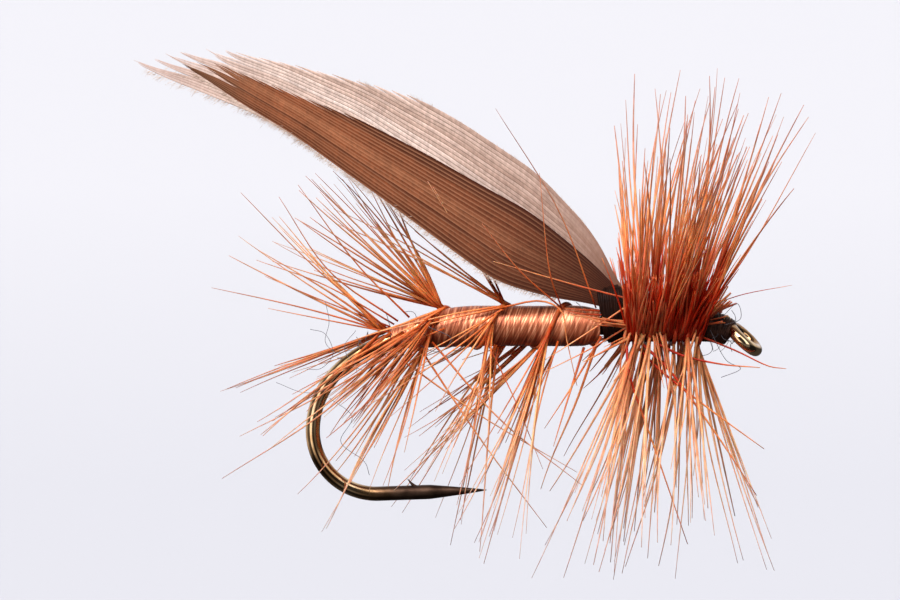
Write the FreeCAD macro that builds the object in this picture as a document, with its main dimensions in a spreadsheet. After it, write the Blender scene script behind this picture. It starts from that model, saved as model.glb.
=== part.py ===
import FreeCAD, Part

import math
import os
import random

import Sketcher
from FreeCAD import Placement, Rotation, Vector

# A dry fly on a down-eyed hook. The origin is the centre of the hook's eye; +X runs forward out of the
# head, -X back along the shank to the bend, +Z up through the wing, and -Y the fly's right-hand side.

DIMENSIONS = (
    # hook
    ("wire_dia", 0.38, "hook wire"),
    ("eye_wire_dia", 0.32, "wire at the eye, drawn thinner"),
    ("eye_ring_rad", 0.44, "eye, from its centre to the middle of its wire"),
    ("eye_bore_dia", 0.60, "clear hole of the eye"),
    ("eye_tilt", 42, "degrees that the eye turns down"),
    ("neck_rad", 0.30, "bend between the shank and the eye"),
    ("shank_rise", 0.34, "shank axis above the eye's centre"),
    ("shank_back", 6.92, "end of the straight shank, behind the eye"),
    ("bend_rad_a", 7.50, "first, gentle arc of the bend"),
    ("bend_turn_a", 20.5, "degrees"),
    ("bend_rad_b", 3.18, "second arc of the bend"),
    ("bend_turn_b", 25.0, "degrees"),
    ("bend_rad_c", 2.26, "heel of the bend"),
    ("bend_turn_c", 44.5, "degrees"),
    ("bend_rad_d", 1.68, "lower bend"),
    ("bend_turn_d", 92.0, "degrees"),
    ("spear_length", 1.35, "parallel part of the spear"),
    ("point_length", 1.50, "tapered point"),
    ("point_dia", 0.02, "blunt end of the point"),
    ("barb_length", 0.36, "hook barb, along the spear"),
    ("barb_lift", 0.20, "hook barb's tip above the wire"),
    ("barb_width", 0.14, "hook barb, across"),
    ("barb_foot", 0.075, "hook barb's foot below the wire's surface"),
    ("barb_notch", 0.22, "foot of the hook barb's cut, ahead of its tip's root"),
    # thread, floss and quills
    ("thread_wall", 0.05, "thickness of the thread base"),
    ("body_front", 3.79, "front end of the floss body, behind the eye"),
    ("body_turn", 18.0, "degrees of the bend's first arc that the body covers"),
    ("body_dia", 1.08, "floss body at its fullest"),
    ("quill_dia", 0.14, "hackle quill"),
    ("hair_dia", 0.07, "hackle barb at its root"),
    ("palmer_pitch", 1.58, "spacing of the body hackle's turns"),
    ("palmer_hair", 5.0, "body hackle barbs"),
    ("collar_back", 3.10, "back of the collar, behind the eye"),
    ("collar_front", 0.98, "front of the collar, behind the eye"),
    ("collar_dia", 0.84, "thread base under the collar"),
    ("collar_hair", 6.0, "collar hackle barbs"),
    # wing and head
    ("wing_thick", 0.14, "thickness of a wing slip"),
    ("binding_width", 1.00, "wing binding, across"),
    ("binding_height", 1.44, "wing binding, up and down"),
    ("binding_lift", 0.36, "centre of the wing binding above the shank"),
    ("head_dia", 0.80, "head at its back end"),
    ("head_front", 0.47, "front end of the head, behind the eye"),
    ("head_middle_dia", 0.75, "head halfway along"),
    ("head_front_dia", 0.50, "head at its front end"),
)

PALMER_TURNS = 4
COLLAR_TURNS = 6
PALMER_HAIRS = 26  # on each turn of the body hackle
COLLAR_HAIRS = 44  # on each turn of the collar

doc = FreeCAD.newDocument("dry_fly")


def fill_sheet():
    sheet = doc.addObject("Spreadsheet::Sheet", "Dims")
    for row, (alias, value, note) in enumerate(DIMENSIONS, start=1):
        sheet.set(f"A{row}", alias)
        sheet.set(f"B{row}", str(value))
        sheet.set(f"C{row}", note)
        sheet.setAlias(f"B{row}", alias)
    doc.recompute()
    return sheet


dims = fill_sheet()


def cell(alias):
    return float(dims.get(alias))


# ---- sketches ----------------------------------------------------------------------------------------


def value_of(expression):
    result = dims.evalExpression(expression.replace("Dims.", ""))
    return float(getattr(result, "Value", result))


def new_sketch(body, name, role, offset=Placement()):
    """A sketch on one of its own body's origin planes."""
    sketch = body.newObject("Sketcher::SketchObject", name)
    plane = next(f for f in body.Origin.OriginFeatures if f.Role == role)
    sketch.AttachmentSupport = [(plane, "")]
    sketch.MapMode = "FlatFace"
    sketch.AttachmentOffset = offset
    return sketch


def bind(sketch, constraint, where, expression):
    """A dimension of the sketch that follows an expression of the sheet."""
    amount = value_of(expression)
    if constraint == "Angle":
        amount = math.radians(amount)
        expression = f"({expression}) * 1 deg"
    index = sketch.addConstraint(Sketcher.Constraint(constraint, *where, amount))
    sketch.setExpression(f"Constraints[{index}]", expression)


def bind_point(sketch, geometry, end, x, y):
    for constraint, axis, expression in (("DistanceX", -2, x), ("DistanceY", -1, y)):
        if value_of(expression) == 0:
            sketch.addConstraint(Sketcher.Constraint("PointOnObject", geometry, end, axis))
        else:
            bind(sketch, constraint, (-1, 1, geometry, end), expression)


def add_circle(sketch, x, y, diameter):
    centre = Vector(value_of(x), value_of(y), 0)
    circle = sketch.addGeometry(Part.Circle(centre, Vector(0, 0, 1), value_of(diameter) / 2), False)
    bind_point(sketch, circle, 3, x, y)
    bind(sketch, "Diameter", (circle,), diameter)


def add_polygon(sketch, corners):
    """A closed outline through corners, each an (x, y) pair of expressions."""
    points = [Vector(value_of(x), value_of(y), 0) for x, y in corners]
    lines = []
    for start, end in zip(points, points[1:] + points[:1]):
        lines.append(sketch.addGeometry(Part.LineSegment(start, end), False))
    for line, after in zip(lines, lines[1:] + lines[:1]):
        sketch.addConstraint(Sketcher.Constraint("Coincident", line, 2, after, 1))
    for line, (x, y) in zip(lines, corners):
        bind_point(sketch, line, 1, x, y)


def add_run(sketch, x, y, heading, pieces):
    """Straight runs and left-hand arcs, each tangent to the one before, from (x, y) at heading degrees."""
    here = Vector(value_of(x), value_of(y), 0)
    angle = math.radians(heading)
    before = None
    for piece in pieces:
        if len(piece) == 1:
            ahead = here + Vector(math.cos(angle), math.sin(angle), 0) * value_of(piece[0])
            now = sketch.addGeometry(Part.LineSegment(here, ahead), False)
        else:
            radius, turn = value_of(piece[0]), math.radians(value_of(piece[1]))
            centre = here + Vector(-math.sin(angle), math.cos(angle), 0) * radius
            circle = Part.Circle(centre, Vector(0, 0, 1), radius)
            now = sketch.addGeometry(
                Part.ArcOfCircle(circle, angle - math.pi / 2, angle + turn - math.pi / 2), False
            )
            angle += turn
            ahead = centre + Vector(math.sin(angle), -math.cos(angle), 0) * radius
        if before is None:
            bind_point(sketch, now, 1, x, y)
            sketch.addConstraint(Sketcher.Constraint("Horizontal", now))
        else:
            sketch.addConstraint(Sketcher.Constraint("Tangent", before, 2, now, 1))
        if len(piece) == 1:
            bind(sketch, "Distance", (now,), piece[0])
        else:
            bind(sketch, "Radius", (now,), piece[0])
            bind(sketch, "Angle", (now,), piece[1])
        here, before = ahead, now


def add_pipe(body, name, profile, path):
    pipe = body.newObject("PartDesign::AdditivePipe", name)
    pipe.Profile = profile
    pipe.Spine = (path, [f"Edge{i + 1}" for i in range(len(path.Geometry))])
    return pipe


def add_turned(body, name, sketch, axis="H_Axis", kind="PartDesign::Revolution"):
    turned = body.newObject(kind, name)
    turned.Profile = sketch
    turned.ReferenceAxis = (sketch, [axis])
    turned.Angle = 360
    return turned


# ---- hook --------------------------------------------------------------------------------------------

NECK_CORNER = "Dims.shank_rise / tan(Dims.eye_tilt * 1 deg)"
NECK_START = f"-{NECK_CORNER} - Dims.neck_rad * tan(Dims.eye_tilt * 0.5 deg)"
SHANK_LENGTH = f"Dims.shank_back + ({NECK_START})"
HOOK_RUN = (
    (SHANK_LENGTH,),
    ("Dims.bend_rad_a", "Dims.bend_turn_a"),
    ("Dims.bend_rad_b", "Dims.bend_turn_b"),
    ("Dims.bend_rad_c", "Dims.bend_turn_c"),
    ("Dims.bend_rad_d", "Dims.bend_turn_d"),
    ("Dims.spear_length",),
)


def shank_section(body, name, x, diameters):
    """Concentric circles across the straight shank at x."""
    sketch = new_sketch(body, name, "YZ_Plane", Placement(Vector(0, 0, value_of(x)), Rotation()))
    sketch.setExpression("AttachmentOffset.Base.z", x)
    for diameter in diameters:
        add_circle(sketch, "0", "Dims.shank_rise", diameter)
    return sketch


def spear_end():
    """The middle of the wire where its point starts to taper, and the spear's rise in degrees."""
    x, z, heading = value_of(NECK_START), cell("shank_rise"), math.pi
    for piece in HOOK_RUN:
        if len(piece) == 1:
            x += value_of(piece[0]) * math.cos(heading)
            z += value_of(piece[0]) * math.sin(heading)
            continue
        radius, turn = value_of(piece[0]), math.radians(value_of(piece[1]))
        x += radius * (math.sin(heading + turn) - math.sin(heading))
        z -= radius * (math.cos(heading + turn) - math.cos(heading))
        heading += turn
    return x, z, math.degrees(heading) - 360


def make_hook():
    body = doc.addObject("PartDesign::Body", "hook")
    section = shank_section(body, "wire_section", NECK_START, ["Dims.wire_dia"])
    path = new_sketch(body, "hook_path", "XZ_Plane")
    add_run(path, NECK_START, "Dims.shank_rise", 180, HOOK_RUN)
    add_pipe(body, "wire", section, path)

    # the neck bends down to the eye, which is a ring of thinner wire with a flat land in its hole
    neck_section = shank_section(body, "neck_section", NECK_START, ["Dims.wire_dia"])
    neck_path = new_sketch(body, "neck_path", "XZ_Plane")
    radius, tilt = cell("neck_rad"), math.radians(cell("eye_tilt"))
    centre = Vector(value_of(NECK_START), cell("shank_rise") - radius, 0)
    circle = Part.Circle(centre, Vector(0, 0, 1), radius)
    arc = neck_path.addGeometry(Part.ArcOfCircle(circle, math.pi / 2 - tilt, math.pi / 2), False)
    bind_point(neck_path, arc, 3, NECK_START, "Dims.shank_rise - Dims.neck_rad")
    bind_point(neck_path, arc, 2, NECK_START, "Dims.shank_rise")
    bind(neck_path, "Angle", (arc,), "Dims.eye_tilt")
    add_pipe(body, "neck", neck_section, neck_path)

    tilted = Placement(Vector(), Rotation(Vector(0, 0, 1), -cell("eye_tilt")))
    ring = new_sketch(body, "eye_section", "XZ_Plane", tilted)
    add_circle(ring, "-Dims.eye_ring_rad", "0", "Dims.eye_wire_dia")
    add_turned(body, "eye", ring, "V_Axis")
    bore = new_sketch(body, "eye_bore_section", "XZ_Plane", tilted)
    half = "Dims.eye_wire_dia"
    add_polygon(
        bore,
        (
            ("0", f"-{half}"),
            ("Dims.eye_bore_dia / 2", f"-{half}"),
            ("Dims.eye_bore_dia / 2", half),
            ("0", half),
        ),
    )
    add_turned(body, "eye_bore", bore, "V_Axis", "PartDesign::Groove")
    for sketch in (ring, bore):
        sketch.setExpression("AttachmentOffset.Rotation.Angle", "-Dims.eye_tilt * 1 deg")

    # the needle point and the barb stand on the spear's own axis
    x, z, rise = spear_end()
    along_spear = Placement(Vector(x, z, 0), Rotation(Vector(0, 0, 1), rise))
    point = new_sketch(body, "point_section", "XZ_Plane", along_spear)
    add_polygon(
        point,
        (
            ("0", "0"),
            ("Dims.point_length", "0"),
            ("Dims.point_length", "Dims.point_dia / 2"),
            ("0", "Dims.wire_dia / 2"),
        ),
    )
    add_turned(body, "point", point)
    barb = new_sketch(body, "barb_section", "XZ_Plane", along_spear)
    foot = "Dims.wire_dia / 2 - Dims.barb_foot"
    add_polygon(
        barb,
        (
            ("-Dims.barb_length", "Dims.wire_dia / 2 + Dims.barb_lift"),
            ("-Dims.barb_notch", foot),
            ("0", foot),
            ("Dims.barb_length - Dims.barb_notch", "Dims.wire_dia / 2 - Dims.barb_foot / 2"),
        ),
    )
    pad = body.newObject("PartDesign::Pad", "barb")
    pad.Profile = barb
    pad.Midplane = True
    pad.setExpression("Length", "Dims.barb_width")
    return body


# ---- thread base, floss body and bindings ------------------------------------------------------------

BASE_DIA = "Dims.wire_dia + 2 * Dims.thread_wall"
BODY_STATIONS = (  # (share of the straight stretch, share of its fullest diameter), front to back
    (0.00, 0.90),
    (0.18, 1.00),
    (0.60, 0.98),
    (1.00, 0.99),
)
BODY_BEND_STATIONS = (  # (share of the stretch that lies on the bend, share of its fullest diameter)
    (0.25, 0.99),
    (0.50, 0.90),
    (0.75, 0.72),
    (1.00, 0.50),
)


def make_thread_base():
    """The thin layer of thread that grips the bare shank, from the head to the end of the body."""
    body = doc.addObject("PartDesign::Body", "shank_thread_base")
    section = shank_section(body, "base_section", "-Dims.collar_front", ["Dims.wire_dia", BASE_DIA])
    path = new_sketch(body, "base_path", "XZ_Plane")
    run = (("Dims.shank_back - Dims.collar_front",), ("Dims.bend_rad_a", "Dims.body_turn"))
    add_run(path, "-Dims.collar_front", "Dims.shank_rise", 180, run)
    add_pipe(body, "winding", section, path)
    return body


def station_sketch(body, name, behind, diameter):
    """A circle across the body, behind mm back from the eye along the shank and the bend."""
    centre, forward, _ = on_shank(behind)
    tilt = math.degrees(math.atan2(forward.z, forward.x))
    offset = Placement(Vector(0, centre.z, centre.x), Rotation(Vector(1, 0, 0), -tilt))
    sketch = new_sketch(body, name, "YZ_Plane", offset)
    add_circle(sketch, "0", "0", diameter)
    return sketch


def body_stations():
    """(distance behind the eye, share of the fullest diameter) of each station, front to back."""
    front, back, turn = cell("body_front"), cell("shank_back"), math.radians(cell("body_turn"))
    for share, fullness in BODY_STATIONS:
        yield front + share * (back - front), fullness
    for share, fullness in BODY_BEND_STATIONS:
        yield back + share * cell("bend_rad_a") * turn, fullness


def make_floss_body():
    """Wound floss, lofted through its stations, on the thread base."""
    body = doc.addObject("PartDesign::Body", "floss_body")
    stations = [
        station_sketch(body, f"station_{i + 1}", behind, f"Dims.body_dia * {fullness}")
        for i, (behind, fullness) in enumerate(body_stations())
    ]
    loft = body.newObject("PartDesign::AdditiveLoft", "winding")
    loft.Profile = stations[0]
    loft.Sections = stations[1:]
    section = shank_section(body, "hole_section", "-Dims.collar_front", [BASE_DIA])
    path = new_sketch(body, "hole_path", "XZ_Plane")
    run = (("Dims.shank_back - Dims.collar_front",), ("Dims.bend_rad_a", "Dims.bend_turn_a"))
    add_run(path, "-Dims.collar_front", "Dims.shank_rise", 180, run)
    hole = body.newObject("PartDesign::SubtractivePipe", "hole")
    hole.Profile = section
    hole.Spine = (path, [f"Edge{i + 1}" for i in range(len(path.Geometry))])
    return body


def make_shank_ring(name, corners):
    """A wound ring on the straight shank, turned from corners given as (x, radius) expressions."""
    body = doc.addObject("PartDesign::Body", name)
    lifted = Placement(Vector(0, cell("shank_rise"), 0), Rotation())
    sketch = new_sketch(body, f"{name}_section", "XZ_Plane", lifted)
    sketch.setExpression("AttachmentOffset.Base.y", "Dims.shank_rise")
    add_polygon(sketch, corners)
    add_turned(body, f"{name}_winding", sketch)
    return body


def make_collar_thread_base():
    corners = (
        ("-Dims.collar_back", f"({BASE_DIA}) / 2"),
        ("-Dims.collar_front", f"({BASE_DIA}) / 2"),
        ("-Dims.collar_front", "Dims.collar_dia / 2"),
        ("-Dims.collar_back", "Dims.collar_dia / 2"),
    )
    return make_shank_ring("collar_thread_base", corners)


def make_head_thread():
    middle = "-(Dims.collar_front + Dims.head_front) / 2"
    corners = (
        ("-Dims.collar_front", "Dims.wire_dia / 2"),
        ("-Dims.head_front", "Dims.wire_dia / 2"),
        ("-Dims.head_front", "Dims.head_front_dia / 2"),
        (middle, "Dims.head_middle_dia / 2"),
        ("-Dims.collar_front", "Dims.head_dia / 2"),
    )
    return make_shank_ring("head_thread", corners)


def make_binding_blank():
    """The oval block of thread around the shank and the wing's root, before the slips are let in."""
    body = doc.addObject("PartDesign::Body", "wing_binding_blank")
    offset = Placement(Vector(0, 0, -cell("body_front")), Rotation())
    sketch = new_sketch(body, "binding_section", "YZ_Plane", offset)
    sketch.setExpression("AttachmentOffset.Base.z", "-Dims.body_front")
    half_gap = "(Dims.binding_height - Dims.binding_width) / 2"
    middle = "Dims.shank_rise + Dims.binding_lift"
    radius = cell("binding_width") / 2
    ends = (("Upper", f"{middle} + {half_gap}", 0), ("Lower", f"{middle} - {half_gap}", math.pi))
    arcs = []
    for _, z, start in ends:
        circle = Part.Circle(Vector(0, value_of(z), 0), Vector(0, 0, 1), radius)
        arcs.append(sketch.addGeometry(Part.ArcOfCircle(circle, start, start + math.pi), False))
    upper, lower = (value_of(z) for _, z, _ in ends)
    left_side = Part.LineSegment(Vector(-radius, upper, 0), Vector(-radius, lower, 0))
    right_side = Part.LineSegment(Vector(radius, lower, 0), Vector(radius, upper, 0))
    left = sketch.addGeometry(left_side, False)
    right = sketch.addGeometry(right_side, False)
    for one, other in ((arcs[0], left), (left, arcs[1]), (arcs[1], right), (right, arcs[0])):
        sketch.addConstraint(Sketcher.Constraint("Tangent", one, 2, other, 1))
    for arc, (_, z, _) in zip(arcs, ends):
        bind_point(sketch, arc, 3, "0", z)
    bind(sketch, "Radius", (arcs[0],), "Dims.binding_width / 2")
    add_circle(sketch, "0", "Dims.shank_rise", BASE_DIA)
    pad = body.newObject("PartDesign::Pad", "binding")
    pad.Profile = sketch
    pad.setExpression("Length", "Dims.body_front - Dims.collar_back")
    return body


# ---- wing --------------------------------------------------------------------------------------------

WING_ROOT = Vector(-3.5, 0, 1.4)
WING_RISE = 27.0  # degrees above the shank
# Each slip's cross-sections from its butt to its tip: (distance from the root, lower edge, upper edge,
# and how far the lower and the upper edge stand out sideways). Lengths are in mm.
NEAR_SLIP = (
    (-0.35, -0.52, -0.06, 0.16, 0.16),
    (0.30, -0.62, 0.22, 0.22, 0.14),
    (1.20, -0.90, 0.46, 0.48, 0.12),
    (2.80, -1.16, 0.79, 0.86, 0.12),
    (6.00, -0.62, 0.92, 0.86, 0.14),
    (9.20, -0.12, 0.98, 0.70, 0.16),
    (11.60, 0.00, 0.74, 0.55, 0.20),
    (12.78, 0.16, 0.26, 0.42, 0.30),
)
FAR_SLIP = (
    (-0.35, -0.50, -0.04, 0.16, 0.16),
    (0.30, -0.60, 0.52, 0.22, 0.20),
    (1.20, -0.90, 1.08, 0.44, 0.30),
    (3.00, -1.24, 1.72, 0.72, 0.36),
    (5.50, -0.92, 2.02, 0.78, 0.40),
    (8.00, -0.42, 2.08, 0.74, 0.40),
    (10.20, -0.26, 1.78, 0.66, 0.40),
    (12.20, -0.30, 0.98, 0.56, 0.40),
    (13.92, -0.48, -0.36, 0.48, 0.42),
)


def make_wing_slip(name, side, stations):
    """A quill slip lofted from butt to tip; side is -1 for the near, right-hand slip and 1 for the other."""
    body = doc.addObject("PartDesign::Body", name)
    rise = math.radians(WING_RISE)
    outward = Vector(-math.cos(rise), 0, math.sin(rise))
    sketches = []
    for i, (reach, low, high, low_out, high_out) in enumerate(stations):
        centre = WING_ROOT + outward * reach
        offset = Placement(Vector(0, centre.z, centre.x), Rotation(Vector(1, 0, 0), WING_RISE))
        sketch = new_sketch(body, f"station_{i + 1}", "YZ_Plane", offset)
        corners = (
            (f"{side * low_out} - Dims.wing_thick / 2", f"{low}"),
            (f"{side * low_out} + Dims.wing_thick / 2", f"{low}"),
            (f"{side * high_out} + Dims.wing_thick / 2", f"{high}"),
            (f"{side * high_out} - Dims.wing_thick / 2", f"{high}"),
        )
        add_polygon(sketch, corners)
        sketches.append(sketch)
    loft = body.newObject("PartDesign::AdditiveLoft", "slip")
    loft.Profile = sketches[0]
    loft.Sections = sketches[1:]
    return body


def make_wing_binding(blank, slips):
    """The binding with both slips' butts let into it."""
    rest = blank
    for i, slip in enumerate(slips):
        cut = doc.addObject("Part::Cut", f"wing_binding_cut_{i + 1}")
        cut.Base = rest
        cut.Tool = slip
        rest = cut
    return rest


# ---- hackles -----------------------------------------------------------------------------------------

PALMER_TOP = 4.71  # where the front turn of the body hackle crosses the top, behind the eye
PALMER_ENDS = (3.95, 9.50)  # the body hackle's quill, behind the eye
PALMER_LEAN = (18, 42)  # least and most degrees back from square on the front turn
PALMER_LEAN_STEP = 7  # further back on each later turn
COLLAR_LEAN_ABOVE = (22, -3)  # degrees forward from square, above the shank, at the front and back
COLLAR_LEAN_BELOW = (9, -18)
COLLAR_LEAN_STRAY = 6  # degrees that a collar barb may stray from its turn's lean
PALMER_HAIR_RANGE = (0.80, 1.10)  # shortest and longest, as shares of the barbs' length
COLLAR_HAIR_RANGE = (0.82, 1.06)
QUILL_SIDES = 5
QUILL_STEPS = 14  # on each turn
HAIR_SIDES = 3
HAIR_ELBOW = 0.55  # where a barb bends, as a share of its length
HAIR_ELBOW_SIZE = 0.7  # its thickness there, as a share of the root's
HAIR_DROOP = 0.10  # how far its tip is drawn aside, as a share of its length
BUTTS = 12  # trimmed ends in front of the collar
BUTT_ARC = 140  # degrees round the top that they stand over
BUTT_LEAN = (25, 60)
BUTT_LENGTHS = (0.45, 0.90)
BUTT_GAP = 0.10  # in front of the collar
BUTT_DEPTH = 0.02  # of their roots in the head


def on_shank(behind):
    """The middle of the wire, behind mm back from the eye along the shank and the bend's first arc, and the
    forward and upward directions there."""
    back, radius = cell("shank_back"), cell("bend_rad_a")
    angle = max(0.0, behind - back) / radius
    centre = Vector(
        -min(behind, back) - radius * math.sin(angle),
        0,
        cell("shank_rise") - radius * (1 - math.cos(angle)),
    )
    forward = Vector(math.cos(angle), 0, math.sin(angle))
    upward = Vector(-math.sin(angle), 0, math.cos(angle))
    return centre, forward, upward


def body_radius(behind):
    """The floss body's radius, between its stations."""
    stations = list(body_stations())
    if behind <= stations[0][0]:
        return stations[0][1] * cell("body_dia") / 2
    for (start, low), (end, high) in zip(stations, stations[1:]):
        if behind <= end:
            share = (behind - start) / (end - start)
            return (low + share * (high - low)) * cell("body_dia") / 2
    return stations[-1][1] * cell("body_dia") / 2


def around(behind, angle, radius):
    """A point beside the shank: angle runs from the top towards the right-hand side. Also its radial and
    forward directions."""
    centre, forward, upward = on_shank(behind)
    radial = upward * math.cos(angle) + Vector(0, -1, 0) * math.sin(angle)
    return centre + radial * radius, radial, forward


def palmer_angle(behind):
    return 2 * math.pi * (behind - PALMER_TOP) / cell("palmer_pitch")


def collar_angle(behind):
    length = cell("collar_back") - cell("collar_front") - cell("quill_dia")
    return 2 * math.pi * COLLAR_TURNS * (behind - cell("collar_front") - cell("quill_dia") / 2) / length


def sewn(faces):
    shell = Part.makeShell(faces)
    shell.sewShape()
    solid = Part.makeSolid(shell)
    if solid.Volume < 0:
        solid.reverse()
    return solid


def flat(*corners):
    return Part.Face(Part.makePolygon([*corners, corners[0]]))


def make_quill(name, places):
    """A quill with a narrow many-sided section, through places given as (point, radial, forward)."""
    radius = cell("quill_dia") / 2
    rings = []
    for point, radial, forward in places:
        turns = [2 * math.pi * i / QUILL_SIDES for i in range(QUILL_SIDES)]
        rings.append([point + (radial * math.cos(a) + forward * math.sin(a)) * radius for a in turns])
    faces = [flat(*rings[0]), flat(*rings[-1])]
    for ring, after in zip(rings, rings[1:]):
        for i in range(QUILL_SIDES):
            j = (i + 1) % QUILL_SIDES
            faces.append(flat(ring[i], ring[j], after[j]))
            faces.append(flat(ring[i], after[j], after[i]))
    feature = doc.addObject("Part::Feature", name)
    feature.Shape = sewn(faces)
    return feature


def hair(root, direction, droop, length):
    """One barb: a bent three-sided spine that tapers from its root to a point."""
    direction = Vector(direction).normalize()
    across = direction.cross(droop).normalize()
    other = direction.cross(across)
    elbow = root + direction * length * HAIR_ELBOW
    tip = root + direction * length + Vector(droop).normalize() * length * HAIR_DROOP
    rings = []
    for centre, share in ((root, 1.0), (elbow, HAIR_ELBOW_SIZE)):
        radius = share * cell("hair_dia") / 2
        turns = [2 * math.pi * i / HAIR_SIDES for i in range(HAIR_SIDES)]
        rings.append([centre + (across * math.cos(a) + other * math.sin(a)) * radius for a in turns])
    faces = [flat(*rings[0])]
    for i in range(HAIR_SIDES):
        j = (i + 1) % HAIR_SIDES
        faces.append(flat(rings[0][i], rings[0][j], rings[1][j], rings[1][i]))
        faces.append(flat(rings[1][i], rings[1][j], tip))
    return sewn(faces)


def make_hairs(name, hairs):
    feature = doc.addObject("Part::Feature", name)
    feature.Shape = Part.makeCompound(hairs)
    return feature


def make_palmer_quill():
    start, end = PALMER_ENDS
    count = round((end - start) / cell("palmer_pitch") * QUILL_STEPS)
    places = []
    for i in range(count + 1):
        behind = start + (end - start) * i / count
        radius = body_radius(behind) + cell("quill_dia") / 2
        places.append(around(behind, palmer_angle(behind), radius))
    return make_quill("palmer_hackle_stem", places)


def make_palmer_turn(turn, chance):
    """The barbs of one open turn of the body hackle; turn 0 is at the front. They lean back."""
    pitch = cell("palmer_pitch")
    middle = PALMER_TOP + turn * pitch
    start = max(middle - pitch / 2, PALMER_ENDS[0])
    end = min(middle + pitch / 2, PALMER_ENDS[1])
    hairs = []
    for i in range(PALMER_HAIRS):
        behind = start + (end - start) * (i + chance.random()) / PALMER_HAIRS
        radius = body_radius(behind) + cell("quill_dia") / 2
        root, radial, forward = around(behind, palmer_angle(behind), radius)
        lean = math.radians(chance.uniform(*PALMER_LEAN) + PALMER_LEAN_STEP * turn)
        direction = radial * math.cos(lean) - forward * math.sin(lean)
        length = cell("palmer_hair") * chance.uniform(*PALMER_HAIR_RANGE)
        hairs.append(hair(root, direction, forward, length))
    return make_hairs(f"palmer_barbs_turn_{PALMER_TURNS - turn}", hairs)


def make_collar_quill():
    inset = cell("quill_dia") / 2
    start, end = cell("collar_front") + inset, cell("collar_back") - inset
    radius = cell("collar_dia") / 2 + inset
    count = COLLAR_TURNS * QUILL_STEPS
    places = []
    for i in range(count + 1):
        behind = start + (end - start) * i / count
        places.append(around(behind, collar_angle(behind), radius))
    return make_quill("collar_hackle_stem", places)


def collar_lean(share, angle):
    """Degrees forward from square, at a share of the way back and an angle from the top."""
    above = COLLAR_LEAN_ABOVE[0] + (COLLAR_LEAN_ABOVE[1] - COLLAR_LEAN_ABOVE[0]) * share
    below = COLLAR_LEAN_BELOW[0] + (COLLAR_LEAN_BELOW[1] - COLLAR_LEAN_BELOW[0]) * share
    return above + (below - above) * (1 - math.cos(angle)) / 2


def make_collar_turn(turn, chance):
    """The barbs of one close turn of the collar; turn 0 is at the front."""
    stray = (-COLLAR_LEAN_STRAY, COLLAR_LEAN_STRAY)
    inset = cell("quill_dia") / 2
    start, end = cell("collar_front") + inset, cell("collar_back") - inset
    pitch = (end - start) / COLLAR_TURNS
    radius = cell("collar_dia") / 2 + inset
    hairs = []
    for i in range(COLLAR_HAIRS):
        behind = start + pitch * (turn + (i + chance.random()) / COLLAR_HAIRS)
        angle = collar_angle(behind)
        root, radial, forward = around(behind, angle, radius)
        share = (behind - start) / (end - start)
        lean = math.radians(collar_lean(share, angle) + chance.uniform(*stray))
        direction = radial * math.cos(lean) + forward * math.sin(lean)
        length = cell("collar_hair") * chance.uniform(*COLLAR_HAIR_RANGE)
        hairs.append(hair(root, direction, forward * -1, length))
    return make_hairs(f"collar_barbs_turn_{COLLAR_TURNS - turn}", hairs)


def make_hackle_butts(chance):
    """The trimmed ends of the collar hackle, standing up in front of it."""
    behind = cell("collar_front") - BUTT_GAP
    radius = cell("head_dia") / 2 - BUTT_DEPTH
    hairs = []
    for i in range(BUTTS):
        angle = math.radians(BUTT_ARC * (i / (BUTTS - 1) - 0.5))
        root, radial, forward = around(behind, angle, radius)
        lean = math.radians(chance.uniform(*BUTT_LEAN))
        direction = radial * math.cos(lean) + forward * math.sin(lean)
        hairs.append(hair(root, direction, forward, chance.uniform(*BUTT_LENGTHS)))
    return make_hairs("hackle_butts", hairs)


# ---- the whole fly -----------------------------------------------------------------------------------


def build():
    chance = random.Random(12)
    nodes = [make_hook(), make_thread_base(), make_floss_body(), make_palmer_quill()]
    nodes += [make_palmer_turn(turn, chance) for turn in range(PALMER_TURNS)]
    slips = [
        make_wing_slip("wing_slip_near", -1, NEAR_SLIP),
        make_wing_slip("wing_slip_far", 1, FAR_SLIP),
    ]
    binding = make_wing_binding(make_binding_blank(), slips)
    binding.Label = "wing_binding_thread"
    nodes += [*slips, binding, make_collar_thread_base(), make_collar_quill()]
    nodes += [make_collar_turn(turn, chance) for turn in range(COLLAR_TURNS)]
    nodes += [make_hackle_butts(chance), make_head_thread()]
    return nodes


def check(nodes):
    for thing in doc.Objects:
        if "Invalid" in thing.State or "Error" in thing.State:
            raise RuntimeError(f"{thing.Label} did not compute: {thing.State}")
    for node in nodes:
        if node.Shape.isNull() or not node.Shape.isValid() or not node.Shape.Solids:
            raise RuntimeError(f"{node.Label} has no sound shape")
        print(f"{node.Label}: {len(node.Shape.Solids)} solids, {node.Shape.Volume:.4f} mm3")


sub_parts = build()
doc.recompute()
check(sub_parts)
os.makedirs("parts", exist_ok=True)
for part in sub_parts:
    part.Shape.exportStep(f"parts/{part.Label}.step")
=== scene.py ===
"""Looks of a palmered dry fly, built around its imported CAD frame.

Lengths in this script are in millimetres and turn into metres where a mesh, the camera or a light is made.
The frame: the origin is the centre of the hook's eye, +X runs forward out of the head, +Z is up, and -Y is
the near side, which faces the camera.
"""

import math

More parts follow.
